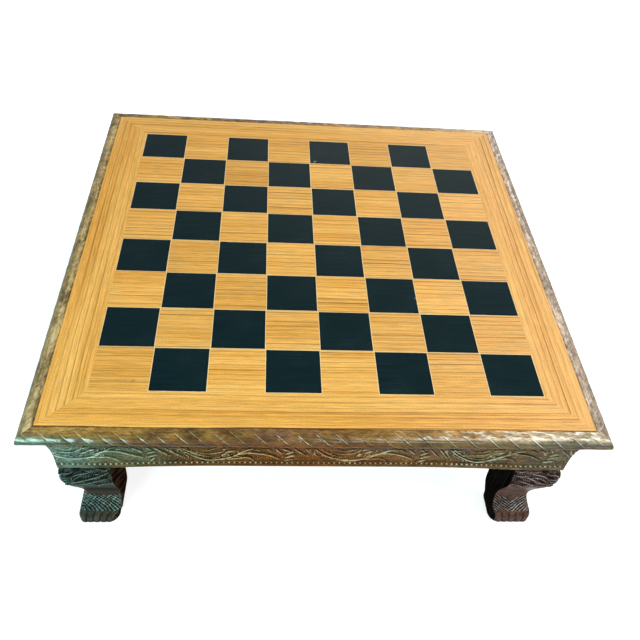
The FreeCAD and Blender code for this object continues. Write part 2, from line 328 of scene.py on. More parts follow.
# One wood, partly aged unevenly and partly painted with light: its tones from left to right, of its face, of
# its rubbed ridges and, on the nosing, low on its round. The green-blue tints at the left are a painted cool
# reflection, the pale right end of the front nosing and the pale ridges are partly painted highlights, the
# low tones painted shade.
patinaAndPaintedLight = {
    "nosing": (
        [(0.0, "#725F3C"), (0.1, "#8E7038"), (0.24, "#8A6A34"), (0.36, "#7E5E30"), (0.46, "#6C4E3A"),
         (0.56, "#84622E"), (0.75, "#9C784A"), (1.0, "#C8B28C")],
        [(0.0, "#CFC69E"), (0.5, "#E6D8B4"), (1.0, "#F8F4EA")],
        [(0.0, "#66725C"), (0.14, "#5A4C2E"), (0.26, "#5A300A"), (0.5, "#52300E"), (0.68, "#524022"),
         (0.84, "#4C4636"), (1.0, "#4A443A")],
    ),
    # the sides' paler tones are painted sheen of a grazing reflection, their white ridges painted highlights
    "nosingSideSheen": (
        [(0.0, "#A08A5C"), (1.0, "#AE9A86")],
        [(0.0, "#D8CCA0"), (1.0, "#FFFAF4")],
        [(0.0, "#8A7A52"), (1.0, "#8A7A6A")],
    ),
    "frieze": (
        [(0.0, "#565E50"), (0.13, "#545236"), (0.22, "#523410"), (0.34, "#5E3408"), (0.5, "#6E3806"),
         (0.66, "#744820"), (0.82, "#6A4C2A"), (1.0, "#6E5A44")],
        [(0.0, "#E4F8EC"), (0.2, "#DCDAB4"), (0.45, "#E2B684"), (0.7, "#E6DAB4"), (1.0, "#D4E2D2")],
    ),
    "leg": (
        [(0.0, "#2E322A"), (0.14, "#382B1D"), (0.5, "#4A2E1C"), (0.86, "#54342A"), (1.0, "#5E4034")],
        [(0.0, "#8AB0AE"), (0.2, "#84A49E"), (0.6, "#C8B8A4"), (0.86, "#D6E0E4"), (1.0, "#D0C8C4")],
    ),
}


def polishedHardwood(name, wood, along, gloss, shine):
    # Dense brown hardwood, stained and French polished: glossy, dark in the cuts, pale on ridges where
    # rubbed and where highlights are painted.
    # The carved meshes carry their relief as an attribute: 0 in a cut, 0.5 on the face, 1 on a ridge.
    material, tree, surface, place = startMaterial(name)
    clouded = {"Vector": place, "Scale": 1 / polish["cloud"], "Detail": 3.0}
    cloud = addNode(tree, "ShaderNodeTexNoise", clouded)
    values = {
        "x": addNode(tree, "ShaderNodeSeparateXYZ", {0: place}).outputs["X"],
        "cloud": cloud.outputs[0],
        "relief": addNode(tree, "ShaderNodeAttribute", attribute_name="relief").outputs["Fac"],
        "strand": addNode(tree, "ShaderNodeAttribute", attribute_name="strand").outputs["Fac"],
    }
    for pattern, sizes in polish["streaks"].items():
        values[pattern] = streaks(tree, place, along, *sizes)
    workOut(tree, values, [
        ("across", "RANGE", "x", -polish["halfBoard"], polish["halfBoard"], 0, 1),
        ("drift", "RANGE", "cloud", 0.3, 0.7, -polish["drift"], polish["drift"]),
        ("where", "ADD", "across", "drift"),
        ("grainTone", "RANGE", "grain", *polish["grainTones"]),
        ("blotchTone", "RANGE", "blotch", *polish["blotchTones"]),
        ("fleckTone", "RANGE", "fleck", *polish["fleckTones"]),
        ("worn", "RANGE", "cloud", *polish["wornAndHighlitShares"]),
        ("unspecked", "RANGE", "fleck", *polish["unspecked"]),
        ("ridge", "RANGE", "relief", *polish["ridge"]),
        ("hollow", "RANGE", "relief", *polish["hollow"]),
        ("rubbedHere", "MULTIPLY", "unspecked", "worn"),
        ("bare", "MULTIPLY", "ridge", "rubbedHere"),
        ("mottled", "MULTIPLY", "grainTone", "blotchTone"),
        ("flecked", "MULTIPLY", "mottled", "fleckTone"),
        ("strandTone", "MULTIPLY_ADD", "strand", polish["strandTone"], 1.0),
        ("tone", "MULTIPLY", "flecked", "strandTone"),
    ])
    for layer, stops in zip(("face", "rubbed", "lowFace"), patinaAndPaintedLight[wood]):
        ramp = addNode(tree, "ShaderNodeValToRGB", {"Fac": values["where"]}, stops=stops)
        values[layer] = ramp.outputs[0]
    if "lowFace" in values:
        values["low"] = addNode(tree, "ShaderNodeAttribute", attribute_name="low").outputs["Fac"]
        values["stain"] = streaks(tree, place, along, *polish["stainStreak"])
        workOut(tree, values, [
            ("stainHere", "RANGE", "stain", *polish["stainSpan"], 0, 1),
            ("stainable", "RANGE", "where", *polish["stainMost"]),
            ("stained", "MULTIPLY", "stainHere", "stainable"),
            ("spotted", "MIX", "stained", "face", polish["stain"]),
            # low on the nosing's round the face takes the darker low tones: painted shade
            ("face", "MIX", "low", "spotted", "lowFace"),
        ])
    workOut(tree, values, [
        ("ground", "SHADE", "face", "tone"),
        ("sunk", "MIX", "hollow", "ground", polish["pore"]),
        # ridges are painted pale: rubbed polish and painted highlights
        ("colour", "MIX", "bare", "sunk", "rubbed"),
        ("roughness", "RANGE", "blotch", 0.3, 0.7, *[gloss + step for step in polish["roughening"]]),
        ("surfaceHeight", "MULTIPLY_ADD", "blotch", 4.0, "grain"),
    ])
    pores = {"Height": values["surfaceHeight"], "Strength": 0.4, "Distance": polish["bumpDepth"]}
    setInputs(tree, surface, {
        "Base Color": values["colour"],
        "Roughness": values["roughness"],
        "Specular IOR Level": shine,
        "Normal": addNode(tree, "ShaderNodeBump", pores).outputs[0],
    })
    return material


def sawnWood(name, ground, streak, along, slant, pitch, roughness):
    # Unpolished wood as the saw left it: dull, with fine slanting marks.
    material, tree, surface, place = startMaterial(name)
    leaning = {"Vector": place, "Rotation": (math.radians(slant), 0, 0)}
    slanted = addNode(tree, "ShaderNodeMapping", leaning).outputs[0]
    grain = streaks(tree, slanted, along, 25 * pitch, pitch, 3.0)
    ramp = addNode(tree, "ShaderNodeValToRGB", {"Fac": grain}, stops=[(0.4, streak), (0.6, ground)])
    marks = {"Height": grain, "Strength": 0.5, "Distance": 0.15 * mm}
    setInputs(tree, surface, {
        "Base Color": ramp.outputs[0],
        "Roughness": roughness,
        "Specular IOR Level": 0.0,
        "Normal": addNode(tree, "ShaderNodeBump", marks).outputs[0],
    })
    return material


def fleckedFinish(name, fleck, dark, pale, roughness, metallic):
    # an even colour with soft flecks of one size
    material, tree, surface, place = startMaterial(name)
    noise = addNode(tree, "ShaderNodeTexNoise", {"Vector": place, "Scale": 1 / fleck}).outputs[0]
    ramp = addNode(tree, "ShaderNodeValToRGB", {"Fac": noise}, stops=[dark, pale])
    setInputs(tree, surface, {
        "Base Color": ramp.outputs[0],
        "Roughness": roughness,
        "Metallic": metallic,
    })
    return material


finishes = {
    "squares": teakVeneer("teak_squares", "X", True, 0.0),
    "borderLong": teakVeneer("teak_border_along_x", "X", False, 0.31),
    "borderDeep": teakVeneer("teak_border_along_y", "Y", False, 0.57),
    "ebony": ebonisedVeneer(),
    # satinwood stringing: a straight pale line, almost without figure
    "line": fleckedFinish("satinwood_line", 3 * mm, (0.3, "#E9C88C"), (0.7, "#FBE9C4"), 0.4, 0.0),
    "nosingX": polishedHardwood("rosewood_nosing_along_x", "nosing", "X", 0.16, 0.4),
    "nosingY": polishedHardwood("rosewood_nosing_along_y", "nosingSideSheen", "Y", 0.42, 0.15),
    "friezeX": polishedHardwood("rosewood_frieze_along_x", "frieze", "X", 0.24, 0.06),
    "friezeY": polishedHardwood("rosewood_frieze_along_y", "frieze", "Y", 0.24, 0.06),
    "leg": polishedHardwood("rosewood_leg", "leg", "Z", 0.3, 0.03),
    # near black: the sawn wood in painted shade, for the inner faces of the right-hand legs
    "shadedInside": sawnWood("sawn_wood_in_painted_shade", "#1A1412", "#040303", "Z", 0, 1.1 * mm, 0.8),
    "brownInside": sawnWood("sawn_brown_wood", "#4C3426", "#110A07", "Z", -42, 1.5 * mm, 0.7),
    "bare": sawnWood("sawn_hardwood", "#8A6340", "#65442A", "X", 0, 1.1 * mm, 0.7),
    "ply": sawnWood("plywood_face", "#A98257", "#8A6540", "Y", 0, 1.1 * mm, 0.65),
    # plain mild steel: grey, finely turned, dulled by age
    "steel": fleckedFinish("mild_steel", 1.5 * mm, (0.35, "#7C7872"), (0.65, "#A7A39C"), 0.42, 1.0),
}
print("finishes made:", len(finishes))

nodeFinishes = {  # how a node's name begins, and its finish
    "light_squares": "squares",
    "dark_squares": "ebony",
    "inlaid_lines": "line",
    "border_veneer_front": "borderLong",
    "border_veneer_back": "borderLong",
    "border_veneer_left": "borderDeep",
    "border_veneer_right": "borderDeep",
    "board_core": "ply",
    "corner_block": "bare",
    "leg_dowels": "bare",
    "core_screws": "steel",
    "block_screws": "steel",
}
for name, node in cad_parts.items():
    for beginning, finish in nodeFinishes.items():
        if name.startswith(beginning):
            node.data.materials.clear()
            node.data.materials.append(finishes[finish])
print("frame pieces finished")


# Shared making

def turnedPoints(points, degrees):
    angle = math.radians(degrees)
    cosine, sine = round(math.cos(angle)), round(math.sin(angle))
    return np.stack([cosine * points[..., 0] - sine * points[..., 1],
                     sine * points[..., 0] + cosine * points[..., 1], points[..., 2]], -1)


def reachAt(node, height):
    # how far a front piece stands out at one height
    corners = [v.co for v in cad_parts[node].data.vertices if abs(v.co.z - height) < 0.1 * mm]
    return max(-corner.y for corner in corners)


def newPiece(name, mesh, replaced):
    piece = bpy.data.objects.new(name, mesh)
    bpy.context.scene.collection.objects.link(piece)
    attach(piece, "root")
    if replaced:
        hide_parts(replaced)
    return piece


def outwardFaces(mesh, sharpAngle):
    shape = bmesh.new()
    shape.from_mesh(mesh)
    bmesh.ops.recalc_face_normals(shape, faces=shape.faces)
    shape.to_mesh(mesh)
    shape.free()
    mesh.shade_smooth()
    mesh.set_sharp_from_angle(angle=math.radians(sharpAngle))


def gridMesh(name, points, relief, materials, faceMaterial, sharpAngle):
    # a closed skin over rows that go round and columns that go along, with a cap at each end
    rows, columns = points.shape[:2]
    numbers = np.arange(rows * columns).reshape(rows, columns)
    above = np.roll(numbers, -1, axis=0)
    quads = np.stack([numbers[:, :-1], numbers[:, 1:], above[:, 1:], above[:, :-1]], -1).reshape(-1, 4)
    faces = quads.tolist() + [numbers[:, 0].tolist(), numbers[::-1, -1].tolist()]
    mesh = bpy.data.meshes.new(name)
    mesh.from_pydata(points.reshape(-1, 3).tolist(), [], faces)
    attribute = mesh.attributes.new("relief", "FLOAT", "POINT")
    attribute.data.foreach_set("value", relief.ravel().astype(np.float32))
    for material in materials:
        mesh.materials.append(material)
    slotNumbers = np.repeat(faceMaterial, columns - 1).tolist() + [faceMaterial[-1]] * 2
    mesh.polygons.foreach_set("material_index", slotNumbers)
    outwardFaces(mesh, sharpAngle)
    return mesh


def smoothStep(value, low, high):
    share = np.clip((value - low) / (high - low), 0, 1)
    return share * share * (3 - 2 * share)


def zigzag(phase):  # from 0 to 1 and back in each turn
    return np.abs(phase % 1 - 0.5) * 2


def strokeField(points, width, blunt, across, up):
    # The places near a smooth stroke through the points, and how deep each lies in it: 1 on its line,
    # 0 at its edge, less outside. Its ends taper, the less the blunter it is.
    line = np.array(points, float)
    padded = np.vstack([2 * line[0] - line[1], line, 2 * line[-1] - line[-2]])
    steps = np.linspace(0, 1, 9)[:, None]
    path = []
    for a, b, c, d in zip(padded, padded[1:], padded[2:], padded[3:]):
        path.append(0.5 * (2 * b + (c - a) * steps + (2 * a - 5 * b + 4 * c - d) * steps ** 2
                           + (3 * b - a - 3 * c + d) * steps ** 3))
    path = np.vstack(path)
    margin = 1.5 * width
    near = np.nonzero((across > path[:, 0].min() - margin) & (across < path[:, 0].max() + margin)
                      & (up > path[:, 1].min() - margin) & (up < path[:, 1].max() + margin))[0]
    here = np.stack([across[near], up[near]], -1)
    best = np.full(len(near), np.inf)
    along = np.zeros(len(near))
    for number, (start, end) in enumerate(zip(path, path[1:])):
        run = end - start
        length = max(run @ run, 1e-12)
        share = np.clip(((here - start) @ run) / length, 0, 1)
        distance = np.hypot(*(here - start - share[:, None] * run).T)
        closer = distance < best
        best[closer] = distance[closer]
        along[closer] = (number + share[closer]) / (len(path) - 1)
    taper = blunt + (1 - blunt) * np.sin(np.pi * np.clip(along, 0.02, 0.98)) ** 0.7
    return near, 1 - best / (width * taper)


def cellChance(column, row, mixColumn, mixRow, seed):
    # a steady chance from 0 to 1 for each cell of a grid
    return (np.sin(column * mixColumn + row * mixRow + seed) * 43758.5453) % 1


def punched(across, up, pitch, radius, seed):
    # a matted ground of small round punch marks, one in each cell of an uneven grid
    column, row = np.floor(across / pitch), np.floor(up / pitch)
    deepest = np.zeros_like(across)
    for stepAcross in (-1, 0, 1):
        for stepUp in (-1, 0, 1):
            cellX, cellY = column + stepAcross, row + stepUp
            chanceX = cellChance(cellX, cellY, 127.1, 311.7, seed)
            chanceY = cellChance(cellX, cellY, 269.5, 183.3, seed)
            centreX = (cellX + 0.5 + 0.5 * (chanceX - 0.5)) * pitch
            centreY = (cellY + 0.5 + 0.5 * (chanceY - 0.5)) * pitch
            distance = np.hypot(across - centreX, up - centreY)
            deepest = np.maximum(deepest, 1 - smoothStep(distance, 0.2 * radius, radius))
    return deepest


def startTree(name, inputs):
    # a geometry tree with named inputs, each with its kind of socket
    tree = bpy.data.node_groups.new(name, "GeometryNodeTree")
    for label, kind in inputs.items():
        tree.interface.new_socket(label, in_out="INPUT", socket_type="NodeSocket" + kind)
    tree.interface.new_socket("Geometry", in_out="OUTPUT", socket_type="NodeSocketGeometry")
    return tree, addNode(tree, "NodeGroupInput").outputs


def endTree(tree, geometry, turn, coats):
    # turns the piece to its side of the board, makes it plain geometry and gives it its finish
    spin = addNode(tree, "ShaderNodeCombineXYZ", {"Z": turn}).outputs[0]
    turned = addNode(tree, "GeometryNodeTransform", {"Geometry": geometry, "Rotation": spin}).outputs[0]
    whole = addNode(tree, "GeometryNodeRealizeInstances", {0: turned}).outputs[0]
    for coat in coats:
        whole = addNode(tree, "GeometryNodeSetMaterial", {"Geometry": whole, **coat}).outputs[0]
    addNode(tree, "NodeGroupOutput", {"Geometry": whole})


def grown(name, startMesh, tree, inputs):
    # runs a node tree on a start mesh and keeps the result as a plain mesh
    maker = bpy.data.objects.new(name, startMesh)
    bpy.context.scene.collection.objects.link(maker)
    modifier = maker.modifiers.new(tree.name, "NODES")
    modifier.node_group = tree
    for item in tree.interface.items_tree:
        if item.in_out == "INPUT" and item.name in inputs:
            modifier[item.identifier] = inputs[item.name]
    ready = maker.evaluated_get(bpy.context.evaluated_depsgraph_get())
    mesh = bpy.data.meshes.new_from_object(ready)
    mesh.name = name
    maker.modifiers.clear()
    bpy.data.objects.remove(maker)
    return mesh


# Corded nosing

nosing = {
    "columns": 900,
    "aroundNose": 30,
    "alongLedge": 9,
    "pitch": 13.15 * mm,
    "pitchGrowth": 0.065 * mm,  # hand spacing: each strand is a little longer than the one before
    "start": 3.3 * mm,
    "slope": 1.13,             # how far a cut runs along for each millimetre round the nose
    "cutWidth": 0.9 * mm,
    "cutDepth": 0.55 * mm,
    "cutLead": 3.2 * mm,       # how far back on the ledge the longest cut begins
    "cutSpread": 3.4 * mm,     # how much further out the shortest one begins
    "cutFade": 1.4 * mm,
    "swell": 0.12 * mm,
    "drift": 1.6 * mm,         # how far a cut strays from its place
    "unevenness": 0.45 * mm,
    "seamDepth": 0.5 * mm,     # worn corner along the veneer, which shows as a dark hairline
    # how far from the seam the nosing is darker: dirt and painted shade in the joint
    "seamDirt": {"front": 1.1 * mm, "right": 1.8 * mm, "back": 1.8 * mm, "left": 3.0 * mm},
    # where along a side the polish begins to be rubbed through and painted with highlights, and where it is
    # as bare and bright as it gets
    "wear": {"front": (20 * mm, 140 * mm), "right": (-400 * mm, 500 * mm),
             "back": (-500 * mm, 1000 * mm), "left": (-600 * mm, 1000 * mm)},
    "crown": (8.2 * mm, 5.7 * mm),  # way from the seam past which nothing is rubbed through and highlighted, and all is
    "lowShadeTurn": (0.2, 1.05),    # turn round the nose, in radians, over which the low tone, a painted shade, comes in
    "shadeTurn": 1.2,          # where it grows darker
    "underside": 1.28,         # where the polish ends
    "ledgeEdge": 1.5 * mm,     # the ledge is lighter from here to the round
    "backFade": 0.6 * mm,      # the carving fades out toward the flat back
    "noises": {  # what each runs along, and its size along that and round the nose
        "rough": ("along", 9 * mm, 9 * mm),
        "patches": ("fibrePlace", 7 * mm, 2.4 * mm),
        "fibre": ("fibrePlace", 1.1 * mm, 9 * mm),
    },
    # shares of relief, which the finish shows as tone
    "plainTones": (0.1, 0.46),  # at the seam, with dirt and painted shade, and clear of it
    "patchRange": (0.4889, 0.6),  # of the noise that makes the rubbed patches with painted highlights
    "patchTone": 0.8,
    "fibreTones": (0.8, -0.38),  # of the noise, and everywhere
    "shadeTone": -0.25,        # for each radian
    "cutTone": -0.5,
    "lipTones": (0.25, 0.4),   # by the strand's chance, and everywhere
    "ledgeTone": 1.1,
}
noseLow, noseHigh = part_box("nosing_front")
noseRadius = (noseHigh.z - noseLow.z) / 2
noseAxis = {
    "axisOut": -noseLow.y - noseRadius,
    "axisHeight": (noseHigh.z + noseLow.z) / 2,
    "back": -noseHigh.y,
    "radius": noseRadius,
}
nosingInputs = ["pitch", "pitchGrowth", "start", "slope", "cutWidth", "cutDepth", "swell", "drift",
                "unevenness", "underside"]


def nosingSection():
    # the half round with its flat ledges, worn at the seam with the veneer
    out, height, back = noseAxis["axisOut"], noseAxis["axisHeight"], noseAxis["back"]
    edge = back + nosing["seamDepth"]
    shares = np.arange(nosing["alongLedge"]) / nosing["alongLedge"]
    outline = [(back, noseHigh.z - nosing["seamDepth"])]
    outline += [(edge + (out - edge) * share, noseHigh.z) for share in shares]
    for number in range(nosing["aroundNose"] + 1):
        angle = math.pi * (0.5 - number / nosing["aroundNose"])
        outline.append((out + noseRadius * math.cos(angle), height + noseRadius * math.sin(angle)))
    outline.append((back, noseLow.z))
    mesh = bpy.data.meshes.new("nosing_section")
    corners = [(reach, -level, 0) for reach, level in outline]  # a profile lies flat and looks down
    count = len(corners)
    mesh.from_pydata(corners, [(i, (i + 1) % count) for i in range(count)], [])
    return mesh


def nosingTree():
    sizes = [*nosingInputs, *noseAxis, "seamDirt", "wearFrom", "wearTo", "seed", "turn"]
    tree, given = startTree("corded_nosing", {
        "section": "Geometry", "columns": "Int", **dict.fromkeys(sizes, "Float"),
        "material": "Material", "undersideMaterial": "Material"})
    profile = addNode(tree, "GeometryNodeMeshToCurve", {0: given["section"]}).outputs[0]
    line = addNode(tree, "GeometryNodeCurvePrimitiveLine", {"Start": (-1, 0, 0), "End": (1, 0, 0)})
    path = addNode(tree, "GeometryNodeResampleCurve", {"Curve": line.outputs[0], "Count": given["columns"]})
    sweep = {"Curve": path.outputs[0], "Profile Curve": profile, "Fill Caps": True}
    bar = addNode(tree, "GeometryNodeCurveToMesh", sweep).outputs[0]
    place = addNode(tree, "GeometryNodeInputPosition").outputs[0]
    axes = addNode(tree, "ShaderNodeSeparateXYZ", {0: place}).outputs
    values = {name: given[name] for name in sizes}
    values.update(share=axes["X"], y=axes["Y"], z=axes["Z"])
    # where each point lies: along the side, out and up from the nose's axis, and its way round from
    # the seam; then which strand it is on, as each is longer than the one before
    workOut(tree, values, [
        ("reach", "ABSOLUTE", "y"),
        ("along", "MULTIPLY", "share", "reach"),
        ("out", "SUBTRACT", "reach", "axisOut"),
        ("rise", "SUBTRACT", "z", "axisHeight"),
        ("outward", "MAXIMUM", "out", 0.0),
        ("angle", "ARCTAN2", "outward", "rise"),
        ("ledgeEnd", "MINIMUM", "reach", "axisOut"),
        ("ledgeWay", "SUBTRACT", "ledgeEnd", "back"),
        ("way", "MULTIPLY_ADD", "angle", "radius", "ledgeWay"),
        ("ledge", "SUBTRACT", "axisOut", "back"),
        ("onRound", "SUBTRACT", "way", "ledge"),
        ("arc", "MULTIPLY_ADD", "radius", -math.pi / 2, "onRound"),
        ("leaned", "MULTIPLY", "arc", "slope"),
        ("upright", "SUBTRACT", "along", "leaned"),
        ("wayLeaned", "MULTIPLY", "way", "slope"),
        ("fibrePlace", "SUBTRACT", "along", "wayLeaned"),
        ("straight", "SUBTRACT", "upright", "start"),
        ("pitchSquare", "MULTIPLY", "pitch", "pitch"),
        ("growthFour", "MULTIPLY", "pitchGrowth", 4.0),
        ("inside", "MULTIPLY_ADD", "straight", "growthFour", "pitchSquare"),
        ("root", "SQRT", "inside"),
        ("rootLess", "SUBTRACT", "root", "pitch"),
        ("growthTwo", "MULTIPLY", "pitchGrowth", 2.0),
        ("turns", "DIVIDE", "rootLess", "growthTwo"),
        ("strand", "ROUND", "turns"),
        ("strandKey", "ADD", "strand", "seed"),
        ("chance", "CHANCE", "strandKey"),
        ("stray", "SUBTRACT", "chance", 0.5),
    ])
    for name, (across, run, reach) in nosing["noises"].items():
        spot = {"X": values[across], "Y": values["way"], "Z": values["seed"]}
        here = addNode(tree, "ShaderNodeCombineXYZ", spot).outputs[0]
        scale = {0: here, 1: (1 / run, 1 / reach, 1)}
        scaled = addNode(tree, "ShaderNodeVectorMath", scale, operation="MULTIPLY").outputs[0]
        noise = {"Vector": scaled, "Scale": 1.0, "Detail": 3.0}
        values[name] = addNode(tree, "ShaderNodeTexNoise", noise).outputs[0]
    # how far in or out the carving moves it
    workOut(tree, values, [
        ("grown", "MULTIPLY_ADD", "strand", "pitchGrowth", "pitch"),
        ("middle", "MULTIPLY", "strand", "grown"),
        ("strayed", "MULTIPLY_ADD", "stray", "drift", "middle"),
        ("side", "SUBTRACT", "straight", "strayed"),
        ("distance", "ABSOLUTE", "side"),
        ("halfCut", "MULTIPLY", "cutWidth", 0.5),
        ("cutHere", "RANGE", "distance", "halfCut", 0, 0, 1),
        ("fromTop", "ADD", "onRound", nosing["cutLead"]),
        ("begun", "MULTIPLY_ADD", "chance", -nosing["cutSpread"], "fromTop"),
        ("there", "RANGE", "begun", 0, nosing["cutFade"], 0, 1),
        ("cut", "MULTIPLY", "cutHere", "there"),
        ("lipPlace", "SUBTRACT", "side", "cutWidth"),
        ("lipDistance", "ABSOLUTE", "lipPlace"),
        ("lipHere", "RANGE", "lipDistance", "halfCut", 0, 0, 1),
        ("lip", "MULTIPLY", "lipHere", "there"),
        ("wave", "DIVIDE", "side", "pitch"),
        ("waveAngle", "MULTIPLY", "wave", 2 * math.pi),
        ("waveCosine", "COSINE", "waveAngle"),
        ("waveLow", "MULTIPLY_ADD", "waveCosine", -0.5, -0.5),
        ("swelling", "MULTIPLY", "waveLow", "swell"),
        ("sunk", "MULTIPLY", "cut", "cutDepth"),
        ("roughLess", "SUBTRACT", "rough", 1.0),
        ("roughness", "MULTIPLY", "roughLess", "unevenness"),
        ("moved", "SUBTRACT", "swelling", "sunk"),
        ("movedAll", "ADD", "moved", "roughness"),
        ("clear", "SUBTRACT", "reach", "back"),
        ("shown", "RANGE", "clear", 0, nosing["backFade"], 0, 1),
        ("push", "MULTIPLY", "movedAll", "shown"),
    ])
    ray = addNode(tree, "ShaderNodeCombineXYZ", {"X": values["outward"], "Y": values["rise"]}).outputs[0]
    unit = addNode(tree, "ShaderNodeVectorMath", {0: ray}, operation="NORMALIZE").outputs[0]
    parts = addNode(tree, "ShaderNodeSeparateXYZ", {0: unit}).outputs
    values.update(unitOut=parts["X"], unitUp=parts["Y"])
    # its new place, mitred with the sides beside it, and its tones: worn and painted with highlights, dirty
    # and in painted shade at the seam, and in painted shade low on its round
    workOut(tree, values, [
        ("newReach", "MULTIPLY_ADD", "unitOut", "push", "reach"),
        ("newHeight", "MULTIPLY_ADD", "unitUp", "push", "z"),
        ("newAlong", "MULTIPLY", "share", "newReach"),
        ("newY", "MULTIPLY", "newReach", -1.0),
        # darker near the seam: dirt and painted shade in the joint
        ("cleaned", "RANGE", "clear", 0, "seamDirt", *nosing["plainTones"]),
        ("past", "SUBTRACT", "angle", nosing["shadeTurn"]),
        ("below", "MAXIMUM", "past", 0.0),
        ("shade", "MULTIPLY", "below", nosing["shadeTone"]),
        # low on the round the tone darkens: painted shade
        ("low", "RANGE", "angle", *nosing["lowShadeTurn"], 0, 1),
        ("onLedge", "RANGE", "onRound", 0, -nosing["ledgeEdge"], 0, 1),
        ("strandTone", "MULTIPLY_ADD", "onLedge", nosing["ledgeTone"], "stray"),
        # pale patches on the upper round: worn polish and painted highlights
        ("worn", "RANGE", "along", "wearFrom", "wearTo", 0, 1),
        ("crown", "RANGE", "way", *nosing["crown"], 0, 1),
        ("patch", "RANGE", "patches", *nosing["patchRange"], 0, 1),
        ("fibreTone", "MULTIPLY_ADD", "fibre", *nosing["fibreTones"]),
        ("wornTop", "MULTIPLY", "worn", "crown"),
        ("wornPatch", "MULTIPLY", "wornTop", "patch"),
        ("bareWood", "MULTIPLY_ADD", "wornPatch", nosing["patchTone"], "cleaned"),
        ("streaked", "ADD", "bareWood", "fibreTone"),
        ("plain", "ADD", "streaked", "shade"),
        ("under", "GREATER_THAN", "angle", "underside"),
        ("dark", "MULTIPLY_ADD", "cut", nosing["cutTone"], "plain"),
        ("fresh", "MULTIPLY_ADD", "chance", *nosing["lipTones"]),
        ("relief", "MULTIPLY_ADD", "lip", "fresh", "dark"),
    ])
    target = {"X": values["newAlong"], "Y": values["newY"], "Z": values["newHeight"]}
    newPlace = addNode(tree, "ShaderNodeCombineXYZ", target).outputs[0]
    named = bar
    for label, value in (("relief", "relief"), ("under", "under"), ("low", "low"), ("strand", "strandTone")):
        kept = {"Geometry": named, "Name": label, "Value": values[value]}
        stored = addNode(tree, "GeometryNodeStoreNamedAttribute", kept, data_type="FLOAT", domain="POINT")
        named = stored.outputs[0]
    carved = addNode(tree, "GeometryNodeSetPosition", {"Geometry": named, "Position": newPlace}).outputs[0]
    under = addNode(tree, "GeometryNodeInputNamedAttribute", {"Name": "under"}, data_type="FLOAT").outputs[0]
    endTree(tree, carved, given["turn"], [
        {"Material": given["material"]},
        {"Material": given["undersideMaterial"], "Selection": under},
    ])
    return tree


nosingMaker = nosingTree()
for number, (side, turn) in enumerate(sideTurns.items()):
    along = "X" if turn % 180 == 0 else "Y"
    mesh = grown("corded_nosing_" + side, nosingSection(), nosingMaker, {
        **{name: nosing[name] for name in ["columns", *nosingInputs]},
        **noseAxis,
        "seamDirt": nosing["seamDirt"][side],
        "wearFrom": nosing["wear"][side][0],
        "wearTo": nosing["wear"][side][1],
        "seed": 3.7 + 11.3 * number,
        "turn": math.radians(turn),
        "material": finishes["nosing" + along],
        "undersideMaterial": finishes["frieze" + along],
    })
    outwardFaces(mesh, 50)
    newPiece("corded_nosing_" + side, mesh, "nosing_" + side)
print("nosing cut:", len(sideTurns), "sides")


# Carved frieze. All strokes are in millimetres from a trough of the scroll and from the frieze's foot.

frieze = {
    "columns": 850,
    "rows": 96,
    "repeat": 91.5,
    "repeats": range(-1, 5),
    "firstTrough": -165.0,
    "coveStart": 12.0,
    "archLevel": 120.0,
    "archRise": 3.1,
    "archFoot": 141.6,
    "fieldEdge": (6.9, 7.5),   # the scroll's ground starts above the beads
    "groundDepth": 0.75,
    "punchPitch": 1.5,
    "punchRadius": 0.7,
    "punchDepth": 0.4,
    "outlineDepth": 0.2,       # a cut beside each stroke, deeper than the ground
    "outlineSpan": (-0.75, -0.3),  # how far out it begins and is full, in half widths
    "outlineFrom": 0.3,        # it is made only where the ground is at least this deep
    "wander": 0.8,             # how far a hand-cut stroke strays from repeat to repeat
    "widths": (0.75, 1.15),
    "beadPitch": 3.6,
    "beadRadius": 0.72,
    "beadSizes": (0.8, 1.1),
    "beadHeight": 4.6,
    "beadSunk": 0.45,
    "beadRelief": 0.88,        # how pale the beads are, rubbed and painted with highlights, as a share of relief
    "channelDepth": 0.55,      # the hollow in which the beads stand
    "channelHalf": (0.8, 1.5),
    "lines": (2.2, 6.9),       # fine lines under and over it
    "lineDepth": 0.3,
    "lineHalf": (0.2, 0.6),
    "footRound": 0.6,          # the lower edge is broken
    "footDepth": 0.5,
    "mitreFade": 2.5,          # the carving fades out toward the mitres
    "veinSpan": (0.1, 0.92),   # of the stem's length
    "veinSpacing": 0.055,
    "veinReach": 4.6,
    "veinReaches": (0.5, 1.3),
    "veinStart": 1.5,
    "veinWidth": 0.5,
    "veinRise": 0.1,
    "veinBlunt": 0.2,
    "shadeUnderNosingFrom": (25, 28.5),    # height at which the painted shade under the nosing begins and is full
}
